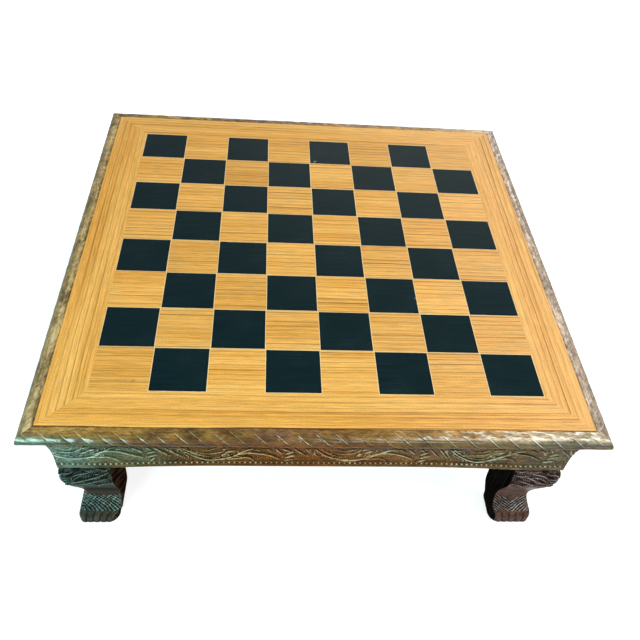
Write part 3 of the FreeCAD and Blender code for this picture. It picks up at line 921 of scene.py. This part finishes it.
# Shares of relief, which the finish shows as tone, high shares pale with rubbing and painted highlights;
# face, outline and stroke are set, the rest is added.
friezeTones = {
    "face": 0.5,
    "ground": 0.12,
    "punch": -1.5,
    "outline": (0.3, -0.3),    # at its edge, and how much less in its depth
    "stroke": (0.42, 0.6),     # at its edge, and how much more on its ridge, where a highlight is painted
    "channel": -0.33,
    "lines": -0.25,
    "foot": 0.16,
    "dirt": -0.4,
}
scroll = {  # name: points, half width, rise above the face, how blunt the ends are
    "stem": ([(-29, 36), (-22, 27), (-12, 16.5), (0, 10.8), (12, 13.8), (22, 21.2), (30, 26.6),
              (37, 26), (41.5, 22.6)], 0.95, 0.35, 0.25),
    "stemTwin": ([(-25, 36), (-17.5, 26.5), (-9, 17.8), (-1, 13.8)], 0.7, 0.15, 0.0),
    "branch": ([(14, 16), (22, 20), (30, 20.3), (38, 17.4), (46, 13)], 1.05, 0.35, 0.5),
    "hook": ([(11, 12.2), (18, 13.8), (25, 13.6), (31, 8.8)], 0.8, 0.3, 0.4),
    "innerCurl": ([(-11, 21.5), (-5, 18.8), (3, 19.4), (8.5, 24), (12, 33)], 0.65, 0.1, 0.1),
    "innerCurlTwin": ([(-7, 25.5), (-1, 22.8), (4, 26), (7, 33)], 0.55, 0.1, 0.1),
    "dropLow": ([(7.5, 17), (10.5, 19.4)], 1.0, 0.3, 0.6),
    "dropMiddle": ([(12, 21), (17, 23.8)], 1.1, 0.35, 0.6),
    "dropHigh": ([(10.5, 25.2), (15.5, 27.8)], 1.1, 0.35, 0.6),
    "crestLeafLow": ([(41, 27), (45, 22.5), (47.5, 19.5)], 0.9, 0.3, 0.3),
    "crestLeafHigh": ([(46, 31), (50, 26), (53, 23)], 1.0, 0.3, 0.3),
    "gougeLow": ([(50, 10), (56, 12.2)], 0.95, 0.3, 0.5),
    "gougeMiddle": ([(50.5, 14.2), (57, 17.4)], 1.0, 0.3, 0.5),
    "gougeHigh": ([(50, 18.6), (55.5, 21.8)], 0.9, 0.3, 0.5),
    "fanOne": ([(52, 36), (56, 27), (61, 20), (66, 15.5)], 0.75, 0.2, 0.1),
    "fanTwo": ([(57, 36), (61.5, 28), (67, 21), (72, 15.5)], 0.75, 0.25, 0.1),
    "fanThree": ([(64, 29), (69, 19.5), (75, 12.5)], 0.6, 0.15, 0.1),
    "topLeaf": ([(20, 31), (25, 35), (33, 36)], 1.4, 0.3, 0.3),
    "topTendril": ([(-20, 38), (-8, 33), (4, 36), (14, 38)], 0.9, 0.2, 0.2),
}
friezeLow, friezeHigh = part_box("frieze_rail_front")
friezeFoot = {
    "face": reachAt("frieze_rail_front", friezeLow.z) / mm,
    "top": -friezeLow.y / mm,
    "inner": -friezeHigh.y / mm,
    "height": (friezeHigh.z - friezeLow.z) / mm,
}


def archAt(across):
    # the low arch along the rail's foot: level in the middle, bent down to the legs
    level, foot, rise = frieze["archLevel"] / 2, frieze["archFoot"], frieze["archRise"]
    radius = ((foot - level) ** 2 + rise ** 2) / (2 * rise)
    past = np.clip(np.abs(across) - level, 0, foot - level)
    return rise - radius + np.sqrt(radius ** 2 - past ** 2)


def coveAt(height):
    rise = friezeFoot["height"] - frieze["coveStart"]
    flare = friezeFoot["top"] - friezeFoot["face"]
    radius = (rise ** 2 + flare ** 2) / (2 * flare)
    above = np.clip(height - frieze["coveStart"], 0, None)
    return friezeFoot["face"] + radius - np.sqrt(radius ** 2 - above ** 2)


def leafVeins(chance):
    # short curved cuts that spring from both sides of the stem and make it leafy
    stem = np.array(scroll["stem"][0], float)
    lengths = np.concatenate([[0], np.cumsum(np.hypot(*np.diff(stem, axis=0).T))])
    veins = []
    for place in np.arange(*frieze["veinSpan"], frieze["veinSpacing"]):
        at, ahead = [np.array([np.interp(part * lengths[-1], lengths, stem[:, axis]) for axis in (0, 1)])
                     for part in (place, place + 0.01)]
        run = (ahead - at) / np.hypot(*(ahead - at))
        for side in (-1, 1):
            out = side * np.array([-run[1], run[0]])
            reach = frieze["veinReach"] * chance.uniform(*frieze["veinReaches"])
            start = at + frieze["veinStart"] * out + run * chance.uniform(-1, 1)
            bend = start + reach * (0.55 * run + 0.2 * out)
            end = bend + reach * (0.3 * run + 0.4 * out)
            veins.append(([start, bend, end], frieze["veinWidth"], frieze["veinRise"], frieze["veinBlunt"]))
    return veins


def cutStroke(points, width, rise, blunt, places, depth, tone):
    # raises one round stroke out of the ground, with a sharp outline; the ends taper
    across, up, field = places
    ground = frieze["groundDepth"]
    near, inside = strokeField(points, width, blunt, across, up)
    body = np.sqrt(np.clip(inside, 0, 1))
    level = (ground + rise) * body - ground
    edge = smoothStep(inside, *frieze["outlineSpan"]) * (inside < 0)
    carvable = field[near] > 0.5
    outline = (edge > 0) & (depth[near] < -frieze["outlineFrom"]) & carvable
    reached = (body > 0) & (level > depth[near]) & carvable
    cut = -ground - frieze["outlineDepth"] * edge[outline]
    depth[near[outline]] = np.minimum(depth[near[outline]], cut)
    atEdge, inDepth = friezeTones["outline"]
    tone[near[outline]] = np.minimum(tone[near[outline]], atEdge + inDepth * edge[outline])
    depth[near[reached]] = level[reached]
    atEdge, onRidge = friezeTones["stroke"]
    tone[near[reached]] = atEdge + onRidge * body[reached] ** 2


def friezeRelief(across, height, seed):
    # the carved depth over a flat pattern, and the relief value that the finish reads
    shape = across.shape
    across, up = across.ravel(), height.ravel()
    lifted = up - archAt(across)
    field = smoothStep(lifted, *frieze["fieldEdge"])
    marks = frieze["punchDepth"] * punched(across, up, frieze["punchPitch"], frieze["punchRadius"], seed)
    depth = -field * (frieze["groundDepth"] + marks)
    tone = friezeTones["face"] + field * (friezeTones["ground"] + friezeTones["punch"] * marks)
    chance, wander = np.random.default_rng(int(seed * 10)), frieze["wander"]
    for repeat in frieze["repeats"]:
        start = frieze["firstTrough"] + repeat * frieze["repeat"]
        for points, widest, rise, blunt in [*leafVeins(chance), *scroll.values()]:
            width = widest * chance.uniform(*frieze["widths"])
            strayed = [(start + x + chance.normal(0, wander), y + chance.normal(0, wander / 2))
                       for x, y in points]
            cutStroke(strayed, width, rise, blunt, (across, up, field), depth, tone)
    channel = 1 - smoothStep(np.abs(lifted - frieze["beadHeight"]), *frieze["channelHalf"])
    fromLine = np.minimum(*[np.abs(lifted - line) for line in frieze["lines"]])
    lines = 1 - smoothStep(fromLine, *frieze["lineHalf"])
    depth -= frieze["channelDepth"] * channel + frieze["lineDepth"] * lines
    depth -= frieze["footDepth"] * (1 - smoothStep(lifted, 0, frieze["footRound"]))
    depth *= smoothStep(friezeFoot["face"] - np.abs(across), 0, frieze["mitreFade"])
    tone += friezeTones["channel"] * channel + friezeTones["lines"] * lines
    tone += friezeTones["foot"] * (1 - smoothStep(lifted, 0, 1.5 * frieze["footRound"]))
    # painted shade under the nosing, at the top of the frieze
    tone += friezeTones["dirt"] * smoothStep(up, *frieze["shadeUnderNosingFrom"])
    return depth.reshape(shape), np.clip(tone, 0, 1).reshape(shape)


def carvedFrieze(side, turn, wood, seed):
    columns = frieze["columns"]
    share = np.linspace(-1, 1, columns)
    rung = np.linspace(0, 1, frieze["rows"])[:, None]
    across = share[None, :] * friezeFoot["face"] * np.ones_like(rung)
    foot = archAt(across)
    height = foot + rung * (friezeFoot["height"] - foot)
    depth, relief = friezeRelief(across, height, seed)
    out = coveAt(height) + depth
    out = np.vstack([out, np.full((2, columns), friezeFoot["inner"])])  # the flat back
    height = np.vstack([height, np.full((1, columns), friezeFoot["height"]), foot[:1]])
    relief = np.vstack([relief, np.full((2, columns), friezeTones["face"])])
    points = np.stack([share[None, :] * out, -out, friezeLow.z / mm + height], -1) * mm
    faceMaterial = [0] * (frieze["rows"] - 1) + [1, 1, 0]
    mesh = gridMesh("carved_frieze_" + side, turnedPoints(points, turn), relief,
                    [wood, finishes["bare"]], faceMaterial, 60)
    newPiece("carved_frieze_" + side, mesh, "frieze_rail_" + side)


def beadTree():
    # a row of small beads that follows the arch of the frieze, none quite as large as the next
    tree, given = startTree("bead_row", {
        "row": "Geometry", "radius": "Float", "relief": "Float", "seed": "Float", "turn": "Float",
        "material": "Material"})
    ball = {"Segments": 8, "Rings": 5, "Radius": given["radius"]}
    bead = addNode(tree, "GeometryNodeMeshUVSphere", ball).outputs[0]
    kept = {"Geometry": bead, "Name": "relief", "Value": given["relief"]}
    rubbed = addNode(tree, "GeometryNodeStoreNamedAttribute", kept, data_type="FLOAT", domain="POINT")
    values = {"number": addNode(tree, "GeometryNodeInputIndex").outputs[0], "seed": given["seed"]}
    workOut(tree, values, [
        ("key", "ADD", "number", "seed"),
        ("chance", "CHANCE", "key"),
        ("size", "RANGE", "chance", 0, 1, *frieze["beadSizes"]),
    ])
    spots = {"Points": given["row"], "Instance": rubbed.outputs[0], "Scale": values["size"]}
    row = addNode(tree, "GeometryNodeInstanceOnPoints", spots).outputs[0]
    endTree(tree, row, given["turn"], [{"Material": given["material"]}])
    return tree


def beadPlaces():
    count = int(2 * (friezeFoot["face"] - frieze["beadPitch"] / 2) / frieze["beadPitch"])
    across = (np.arange(count) - (count - 1) / 2) * frieze["beadPitch"]
    height = friezeLow.z / mm + archAt(across) + frieze["beadHeight"]
    out = np.full(count, friezeFoot["face"] - frieze["beadSunk"])
    mesh = bpy.data.meshes.new("bead_places")
    mesh.from_pydata((np.stack([across, -out, height], -1) * mm).tolist(), [], [])
    return mesh


beadMaker = beadTree()
for number, (side, turn) in enumerate(sideTurns.items()):
    wood = finishes["friezeX" if turn % 180 == 0 else "friezeY"]
    carvedFrieze(side, turn, wood, 2.3 + 1.9 * number)
    beads = grown("frieze_beads_" + side, beadPlaces(), beadMaker, {
        "radius": frieze["beadRadius"] * mm,
        "relief": frieze["beadRelief"],
        "seed": 40.0 * number,
        "turn": math.radians(turn),
        "material": wood,
    })
    beads.shade_smooth()
    newPiece("frieze_beads_" + side, beads, None)
print("frieze carved and beaded")


# Carved legs. Heights and depths in millimetres; the two outer faces are carved alike.

leg = {
    "rows": 240,
    "faceColumns": 112,
    "innerColumns": 26,
    "arcSteps": 6,
    "kneeHeight": 72.5,
    "kneeBulge": 1.7,
    "ankleHeight": 37.0,
    "ankleSetback": 8.7,
    "footHeight": 8.0,
    "footSetback": {"side": 1.2, "front": 3.3},
    "footRound": 4.0,
    "innerFootRound": 5.0,
    "pawRound": 8.5,           # the paw's corners toward the inside are round in plan
    "leastRound": 0.01,        # and nearly square above it
    "pawHeight": 30.0,
    "cornerRound": 3.0,
    "innerRound": 4.0,
    "innerStart": 24.0,
    "innerSetback": {"left": 4.4, "right": 1.8},
    "sawMarks": 0.16,
    "toes": 5,
    "toeTop": 15.5,            # between two toes; each rises to a round top
    "toeRise": 1.6,
    "toeEdge": (-0.6, 0.4),    # from its top, where it begins to end and has ended
    "toeDepth": 1.1,
    "toeSwell": 0.35,
    "toeSwellSpan": (6, 13),
    "toeLightBelow": 1.2,      # the painted highlight lies in a band this far under a toe's top
    "toeLightHalf": 0.8,
    "toeLightSpan": (0.8, 0.97),  # and fades out between two toes
    "toeRings": 4.2,           # fine rings round a toe, in radians for each millimetre
    "furLow": 17.5,
    "furHigh": 36.0,
    "furPitch": 3.0,
    "furDepth": 0.6,
    "furWaver": 0.1,           # how far a cut wavers, in pitches
    "furDip": {"left": 1.0, "right": 8.0},  # how far the crossed cuts reach up at the sides
    "furMiddle": {"left": 0.0, "right": 0.5},  # place, in widths, where the cuts turn to a chevron
    "furCrossed": {"left": 1.0, "right": 0.85},  # strength of the second set of cuts
    "furSpans": ((0.5, 0.9), (0.6, 0.95)),  # from a cut to the ridge beside it, of the two sets
    "shadeUnderKnee": {"left": 0.4, "right": 0.12},  # painted shade round the ankle, under the knee
    "shadeUnderKneeHeight": 46.0,
    "shadeUnderKneeReach": 10.0,
    "kneeFoot": 61.0,          # the leaf over the knee ends here in a scalloped lip
    "scallop": 1.8,
    "scallopTurn": 0.36,       # radians for each millimetre across
    "kneeLean": 0.1,
    "kneeMiddle": 17.0,
    "lipRise": 0.75,
    "lipHalf": 0.8,
    "lipShadow": 0.5,          # depth of the cut under the lip
    "shadowHalf": 0.9,
    "leafGround": 0.5,
    "leafEdge": 0.4,
    "leafBlunt": 0.3,          # how blunt a stroke's ends are
    "leafOutline": 0.4,        # depth of the cut beside a stroke
    "hatchPitch": 1.9,         # fine veins between the leaf's ribs
    "hatchSpan": (0.2, 0.7),   # from a vein's side to its ridge
    "hatchDepth": 0.35,
    "veinSpan": (0.3, 0.9),    # the same of its pale top, rubbed and painted with a highlight, which comes and goes
    "veinWaver": (0.25, 0.6),
    "besideSpan": (-1.1, -0.35),  # how far out the cut beside a stroke begins and is full
    "wander": (0.5, 0.4),      # how far a stroke of the leaf strays, across and up
    "innerFade": 1.2,          # the carving fades out toward the inside
    "cornerFade": 4.0,         # and is shallower at the corner
    "cornerWear": 0.45,
}
legTones = {  # shares of relief, which the finish shows as tone, high shares pale with rubbing and painted highlights; face and stroke are set, the rest is added
    "face": 0.5,
    "leaf": -0.42,
    "vein": 0.74,
    "stroke": (0.35, 0.65),    # at its edge, and how much more on its ridge
    "beside": -0.6,
    "lip": 0.42,
    "lipShadow": -0.45,
    "fur": -0.45,
    "furCut": (0.72, 0.28),    # a cut's own part, and what comes and goes along it
    "toe": (0.6, -0.66),       # on a knuckle's ridge, and everywhere
    "toeRings": 0.1,
    "toeTop": (0.05, 0.22),    # painted highlights on the tops of the toes, and how they differ
}
legLeaves = {  # acanthus strokes on the knee: points from the inner edge of the face, half width, rise
    "midrib": ([(1, 81), (11, 76.5), (22, 70.5), (32, 66)], 0.75, 0.5),
    "upperOne": ([(8, 84), (15, 80.5), (22, 78.5), (29, 74.5)], 0.6, 0.4),
    "upperCurl": ([(24, 83.5), (28, 80), (33, 79.2), (34.5, 76), (31.5, 74.5), (29.5, 76)], 0.6, 0.45),
    "lowerOne": ([(3, 74.5), (12, 70), (19, 66.5), (26, 63.6)], 0.7, 0.45),
    "lowerTwo": ([(0, 69), (6, 66), (12, 63)], 0.6, 0.4),
    "lobeEdge": ([(15, 76.5), (20, 76.8), (25, 74), (28, 69.5)], 0.5, 0.35),
    "sideCurl": ([(25, 69.5), (30, 69.4), (33.2, 66.4), (31.4, 63.6), (28.6, 65)], 0.65, 0.45),
    "rimOne": ([(1, 84.4), (5, 82.6), (9, 84)], 0.5, 0.3),
    "rimTwo": ([(11, 83.4), (15.5, 82.2), (19, 84)], 0.5, 0.3),
    "nickOne": ([(16, 73.4), (19.5, 71)], 0.6, 0.35),
    "nickTwo": ([(29, 72.4), (33.5, 71.2)], 0.55, 0.35),
    "nickThree": ([(8, 79.2), (12, 78.4)], 0.5, 0.3),
}
legLow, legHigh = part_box("leg_back_right")
legTop = legHigh.z / mm
legInner = legLow.x / mm


def swept(height, low, high, atLow, atHigh):
    return atLow + (atHigh - atLow) * smoothStep(height, low, high)


def roundedFoot(height, radius):
    # how far a face draws back where it turns under the foot
    low = np.clip(radius - height, 0, radius)
    return radius - np.sqrt(radius ** 2 - low ** 2)


def legOuter(height, setback):
    face = friezeFoot["face"]
    knee, ankle, foot = face + leg["kneeBulge"], face - leg["ankleSetback"], face - setback
    kneeHeight, ankleHeight, footHeight = leg["kneeHeight"], leg["ankleHeight"], leg["footHeight"]
    out = swept(height, kneeHeight, legTop, knee, face)
    out = np.where(height < kneeHeight, swept(height, ankleHeight, kneeHeight, ankle, knee), out)
    out = np.where(height < ankleHeight, swept(height, footHeight, ankleHeight, foot, ankle), out)
    return out - roundedFoot(height, leg["footRound"])


def legInnerFace(height, setback):
    inner = swept(height, leg["innerFootRound"], leg["innerStart"], legInner + setback, legInner)
    return inner + roundedFoot(height, leg["innerFootRound"])


def kneeRelief(across, up, chance):
    # a leaf over the knee, with a ridge along its scalloped foot and a deep shadow under it
    scallop = leg["kneeFoot"] + leg["scallop"] * np.abs(np.sin(across * leg["scallopTurn"] + 0.4))
    scallop -= leg["kneeLean"] * (across - leg["kneeMiddle"])
    leaf = smoothStep(up, scallop - leg["leafEdge"], scallop + leg["leafEdge"])
    sweep = across * 1.35 + up * 0.8 + 1.2 * np.sin(up * 0.35 + across * 0.12)  # the veins' slant and swing
    hatch = zigzag(sweep / leg["hatchPitch"])
    waver = 0.5 + 0.5 * np.sin(across * 0.55 + 1.7) * np.sin(up * 0.6 + across * 0.21)
    veined = leaf * smoothStep(waver, *leg["veinWaver"]) * smoothStep(hatch, *leg["veinSpan"])
    depth = leaf * (-leg["leafGround"] - leg["hatchDepth"] * (1 - smoothStep(hatch, *leg["hatchSpan"])))
    tone = legTones["face"] + legTones["leaf"] * leaf + legTones["vein"] * veined
    wanderAcross, wanderUp = leg["wander"]
    atEdge, onRidge = legTones["stroke"]
    for points, halfWidth, rise in legLeaves.values():
        strayed = [(x + chance.normal(0, wanderAcross), y + chance.normal(0, wanderUp)) for x, y in points]
        near, inside = strokeField(strayed, halfWidth, leg["leafBlunt"], across, up)
        body = np.sqrt(np.clip(inside, 0, 1)) * leaf[near]
        level = (leg["leafGround"] + rise) * body - leg["leafGround"]
        beside = smoothStep(inside, *leg["besideSpan"]) * (inside < 0) * leaf[near]
        lowered = depth[near] - leg["leafOutline"] * beside
        depth[near] = np.where((body > 0) & (level > depth[near]), level, lowered)
        dark = tone[near] + legTones["beside"] * beside
        tone[near] = np.where(body > 0, atEdge + onRidge * body ** 2, dark)
    lip = np.exp(-((up - scallop - leg["lipHalf"]) / leg["lipHalf"]) ** 2)
    shadow = np.exp(-((up - scallop + leg["shadowHalf"]) / leg["shadowHalf"]) ** 2)
    depth += leg["lipRise"] * lip - leg["lipShadow"] * shadow
    tone += legTones["lip"] * lip + legTones["lipShadow"] * shadow
    return depth, tone


def furRelief(across, up, width, side, seed):
    # crossed cuts over the paw, deeper and paler in places: where they are, and how far one stands out
    fromMiddle = np.abs(across / width - 0.5)
    middle = np.abs(across - width * leg["furMiddle"][side])
    furTop = leg["furHigh"] + leg["furDip"][side] * (2 * fromMiddle - 0.7)
    fur = smoothStep(up, leg["furLow"], leg["furLow"] + 1) * (1 - smoothStep(up, furTop - 1, furTop))
    uneven = 0.5 + 0.5 * np.sin(across * 0.9 + seed) * np.sin(up * 0.7 + across * 0.4)
    falling = zigzag((middle - up) / leg["furPitch"] + leg["furWaver"] * np.sin(across * 0.7))
    rising = zigzag((middle + up) / leg["furPitch"] + leg["furWaver"] * np.sin(up * 0.9))
    fallingSpan, risingSpan = leg["furSpans"]
    crossing = leg["furCrossed"][side] * (0.75 + 0.25 * uneven) * smoothStep(rising, *risingSpan)
    return fur, np.maximum(smoothStep(falling, *fallingSpan), crossing), uneven


def legRelief(across, height, width, side, seed):
    # across runs from the leg's inner edge to its outer corner
    shape = across.shape
    across, up, width = across.ravel(), height.ravel(), width.ravel()
    depth, tone = kneeRelief(across, up, np.random.default_rng(seed))
    fur, lattice, uneven = furRelief(across, up, width, side, seed)
    steady, coming = legTones["furCut"]
    depth += fur * leg["furDepth"] * (lattice - 1)
    tone += fur * ((steady + coming * uneven) * lattice + legTones["fur"])
    place = across / width * leg["toes"]
    knuckle = np.sqrt(np.clip(1 - (2 * (place % 1) - 1) ** 4, 0, 1))
    toeTop = leg["toeTop"] + leg["toeRise"] * knuckle
    edgeLow, edgeHigh = leg["toeEdge"]
    toe = 1 - smoothStep(up, toeTop + edgeLow, toeTop + edgeHigh)
    depth += toe * (leg["toeDepth"] * (knuckle - 1) + leg["toeSwell"] * smoothStep(up, *leg["toeSwellSpan"]))
    onKnuckle, everywhere = legTones["toe"]
    rings = legTones["toeRings"] * np.sin(up * leg["toeRings"])
    tone += toe * (onKnuckle * knuckle + everywhere + rings)
    # a painted highlight along the top of each toe
    light, differing = legTones["toeTop"]
    topLight = light + differing * np.sin(3.1 * np.floor(place) + seed)
    onBand = np.exp(-((up - toeTop + leg["toeLightBelow"]) / leg["toeLightHalf"]) ** 2)
    tone += topLight * onBand * smoothStep(knuckle, *leg["toeLightSpan"])
    # painted shade under the knee, round the ankle
    shadeUnderKnee = np.exp(-((up - leg["shadeUnderKneeHeight"]) / leg["shadeUnderKneeReach"]) ** 2)
    tone -= leg["shadeUnderKnee"][side] * shadeUnderKnee * (1 - fur)
    atCorner = smoothStep(across, width - leg["cornerFade"], width)
    depth *= smoothStep(across, 0, leg["innerFade"]) * (1 - leg["cornerWear"] * atCorner)
    return depth.reshape(shape), np.clip(tone, 0, 1).reshape(shape)


def carvedFace(levels, inner, out, width, paw, side, seed):
    # one outer face: how far its points stand out, how far across they lie, and their relief
    carvedFrom = 0.5 * paw  # the carving starts here on the paw's round corner
    corner = leg["cornerRound"]
    cornerCut = corner * (1 - math.sqrt(0.5))
    share = np.linspace(0, 1, leg["faceColumns"])[None, :]
    across = carvedFrom + share * (width - cornerCut - carvedFrom)
    whole = np.ones_like(across)
    pastCorner = np.clip(across - width + corner, 0, None)
    turnedIn = corner - np.sqrt(corner ** 2 - pastCorner ** 2)
    diagonal = smoothStep(across, width - 2 * corner, width - cornerCut)
    rounded = paw - np.sqrt(paw ** 2 - np.clip(paw - across, 0, None) ** 2)
    depth, tone = legRelief(across - carvedFrom, levels * whole, (width - carvedFrom) * whole, side, seed)
    return out + depth - turnedIn - rounded, inner + across + depth * diagonal, tone


def carvedLeg(corner, turn, side, seed, inside):
    # two carved outer faces that meet in a rounded corner, and two sawn inner faces
    levels = np.linspace(0, legTop, leg["rows"])[:, None]
    inner = legInnerFace(levels, leg["innerSetback"][side])
    ways = ("side", "front") if turn % 180 == 0 else ("front", "side")
    outX, outY = [legOuter(levels, leg["footSetback"][way]) for way in ways]
    paw = leg["pawRound"] * (1 - smoothStep(levels, leg["footHeight"], leg["pawHeight"])) + leg["leastRound"]

    def stacked(x, y):
        return np.stack([x, y, levels * np.ones_like(x)], -1)

    standsX, liesY, toneX = carvedFace(levels, inner, outX, outY - inner, paw, side, seed)
    standsY, liesX, toneY = carvedFace(levels, inner, outY, outX - inner, paw, side, seed + 1)
    bend = np.linspace(0, math.pi / 3, leg["arcSteps"])[None, :-1]
    arcIn, arcOut = inner + paw * (1 - np.cos(bend)), paw * (np.sin(bend) - 1)
    share = np.linspace(0, 1, leg["innerColumns"])[None, 1:-1]
    sawn = inner + np.random.default_rng(seed).uniform(0, leg["sawMarks"], share.shape)
    start = inner + leg["innerRound"] + 0.5 * paw
    turning = np.linspace(0, math.pi / 2, leg["arcSteps"])[None, :]
    ring = np.concatenate([
        stacked(standsX, liesY),
        stacked(liesX, standsY)[:, -2::-1],
        stacked(arcIn, outY + arcOut)[:, ::-1],
        stacked(sawn, outY - paw + (start - outY + paw) * share),
        stacked(start - (start - inner) * np.cos(turning), start - (start - inner) * np.sin(turning)),
        stacked(start + (outX - paw - start) * share, sawn),
        stacked(outX + arcOut, arcIn),
    ], 1)
    carvedColumns = 2 * leg["faceColumns"] - 1
    plain = np.full((leg["rows"], ring.shape[1] - carvedColumns), legTones["face"])
    tone = np.concatenate([toneX, toneY[:, -2::-1], plain], 1)
    faceMaterial = [0] * (carvedColumns - 1) + [1] * (ring.shape[1] - carvedColumns + 1)
    points = turnedPoints(np.swapaxes(ring, 0, 1) * mm, turn)
    mesh = gridMesh("carved_leg_" + corner, points, np.swapaxes(tone, 0, 1),
                    [finishes["leg"], finishes[inside]], faceMaterial, 50)
    newPiece("carved_leg_" + corner, mesh, "leg_" + corner)


for number, (corner, turn) in enumerate(legTurns.items()):
    side = corner.split("_")[1]
    # the right legs' inner faces are painted in shade, near black; the left legs' show the brown sawn wood
    inside = "brownInside" if side == "left" else "shadedInside"
    carvedLeg(corner, turn, side, 20 + 2 * number, inside)
print("legs carved:", len(legTurns))


# Stage: floor, light and camera

stage = {
    "floorHalf": 6.0,
    "floorColour": "#BDBDBD",
    "floorGlow": 0.78,
    "skyLow": 0.95,            # near the horizon
    "skyHigh": 0.20,           # overhead
}
lamps = {  # name: place, aim, width and height in metres, power in watts, colour
    "window": ((0.62, -0.30, 1.35), (0.05, 0, 0.13), (1.1, 0.5), 14.5, "#FFFFFF"),
    "back": ((0.5, 1.5, 1.0), (0, 0, 0.13), (1.2, 0.7), 2.2, "#FFF4E6"),
    "lowLeft": ((-0.40, -0.76, 0.24), (-0.16, -0.18, 0.12), (0.18, 0.44), 6.6, "#B0EEF4"),
    "front": ((0.30, -1.3, 0.75), (0.02, -0.18, 0.1), (0.4, 0.2), 2.4, "#FFF6EA"),
}
view = {
    "lens": 39.85,                          # on a sensor 36 mm wide
    "sensor": 36,
    "place": (-0.04246, -0.44016, 0.51281),
    "turn": (43.664, -4.417, -2.383),       # degrees
}


def makeFloor():
    half = stage["floorHalf"]
    mesh = bpy.data.meshes.new("floor")
    corners = [(-half, -half, 0), (half, -half, 0), (half, half, 0), (-half, half, 0)]
    mesh.from_pydata(corners, [], [(0, 1, 2, 3)])
    material, tree, surface = startMaterial("pale_paper")[:3]
    rays = addNode(tree, "ShaderNodeLightPath").outputs
    values = {
        "camera": rays["Is Camera Ray"],
        "glossy": rays["Is Glossy Ray"],
        "through": rays["Is Transmission Ray"],
    }
    workOut(tree, values, [
        ("either", "MAXIMUM", "camera", "glossy"),
        ("any", "MAXIMUM", "either", "through"),
        ("glow", "MULTIPLY", "any", stage["floorGlow"]),
    ])
    setInputs(tree, surface, {
        "Base Color": hexColour(stage["floorColour"]),
        "Roughness": 0.9,
        "Specular IOR Level": 0.1,
        "Emission Color": (1, 1, 1, 1),
        "Emission Strength": values["glow"],
    })
    mesh.materials.append(material)
    floor = bpy.data.objects.new("floor", mesh)
    bpy.context.scene.collection.objects.link(floor)


def makeSky():
    world = bpy.data.worlds.new("soft_studio")
    world.use_nodes = True
    bpy.context.scene.world = world
    tree = world.node_tree
    tree.nodes.clear()
    direction = addNode(tree, "ShaderNodeTexCoord").outputs["Generated"]
    values = {"height": addNode(tree, "ShaderNodeSeparateXYZ", {0: direction}).outputs["Z"]}
    workOut(tree, values, [("level", "RANGE", "height", 0.1, 0.7, stage["skyLow"], stage["skyHigh"])])
    sky = addNode(tree, "ShaderNodeBackground", {"Color": (1, 1, 1, 1), "Strength": values["level"]})
    addNode(tree, "ShaderNodeOutputWorld", {"Surface": sky.outputs[0]})


def makeLamps():
    for name, (place, aim, size, power, colour) in lamps.items():
        data = bpy.data.lights.new(name, "AREA")
        data.shape = "RECTANGLE"
        data.size, data.size_y = size
        data.energy = power
        data.color = hexColour(colour)[:3]
        lamp = bpy.data.objects.new(name, data)
        lamp.location = place
        lamp.rotation_euler = (Vector(aim) - Vector(place)).to_track_quat("-Z", "Y").to_euler()
        bpy.context.scene.collection.objects.link(lamp)


def makeCamera():
    data = bpy.data.cameras.new("camera")
    data.sensor_width = view["sensor"]
    data.lens = view["lens"]
    data.clip_start = 0.01
    camera = bpy.data.objects.new("camera", data)
    camera.location = view["place"]
    camera.rotation_euler = Euler([math.radians(angle) for angle in view["turn"]])
    bpy.context.scene.collection.objects.link(camera)
    bpy.context.scene.camera = camera


makeFloor()
makeSky()
makeLamps()
makeCamera()
bpy.context.scene.view_settings.view_transform = "Standard"
print("stage set")
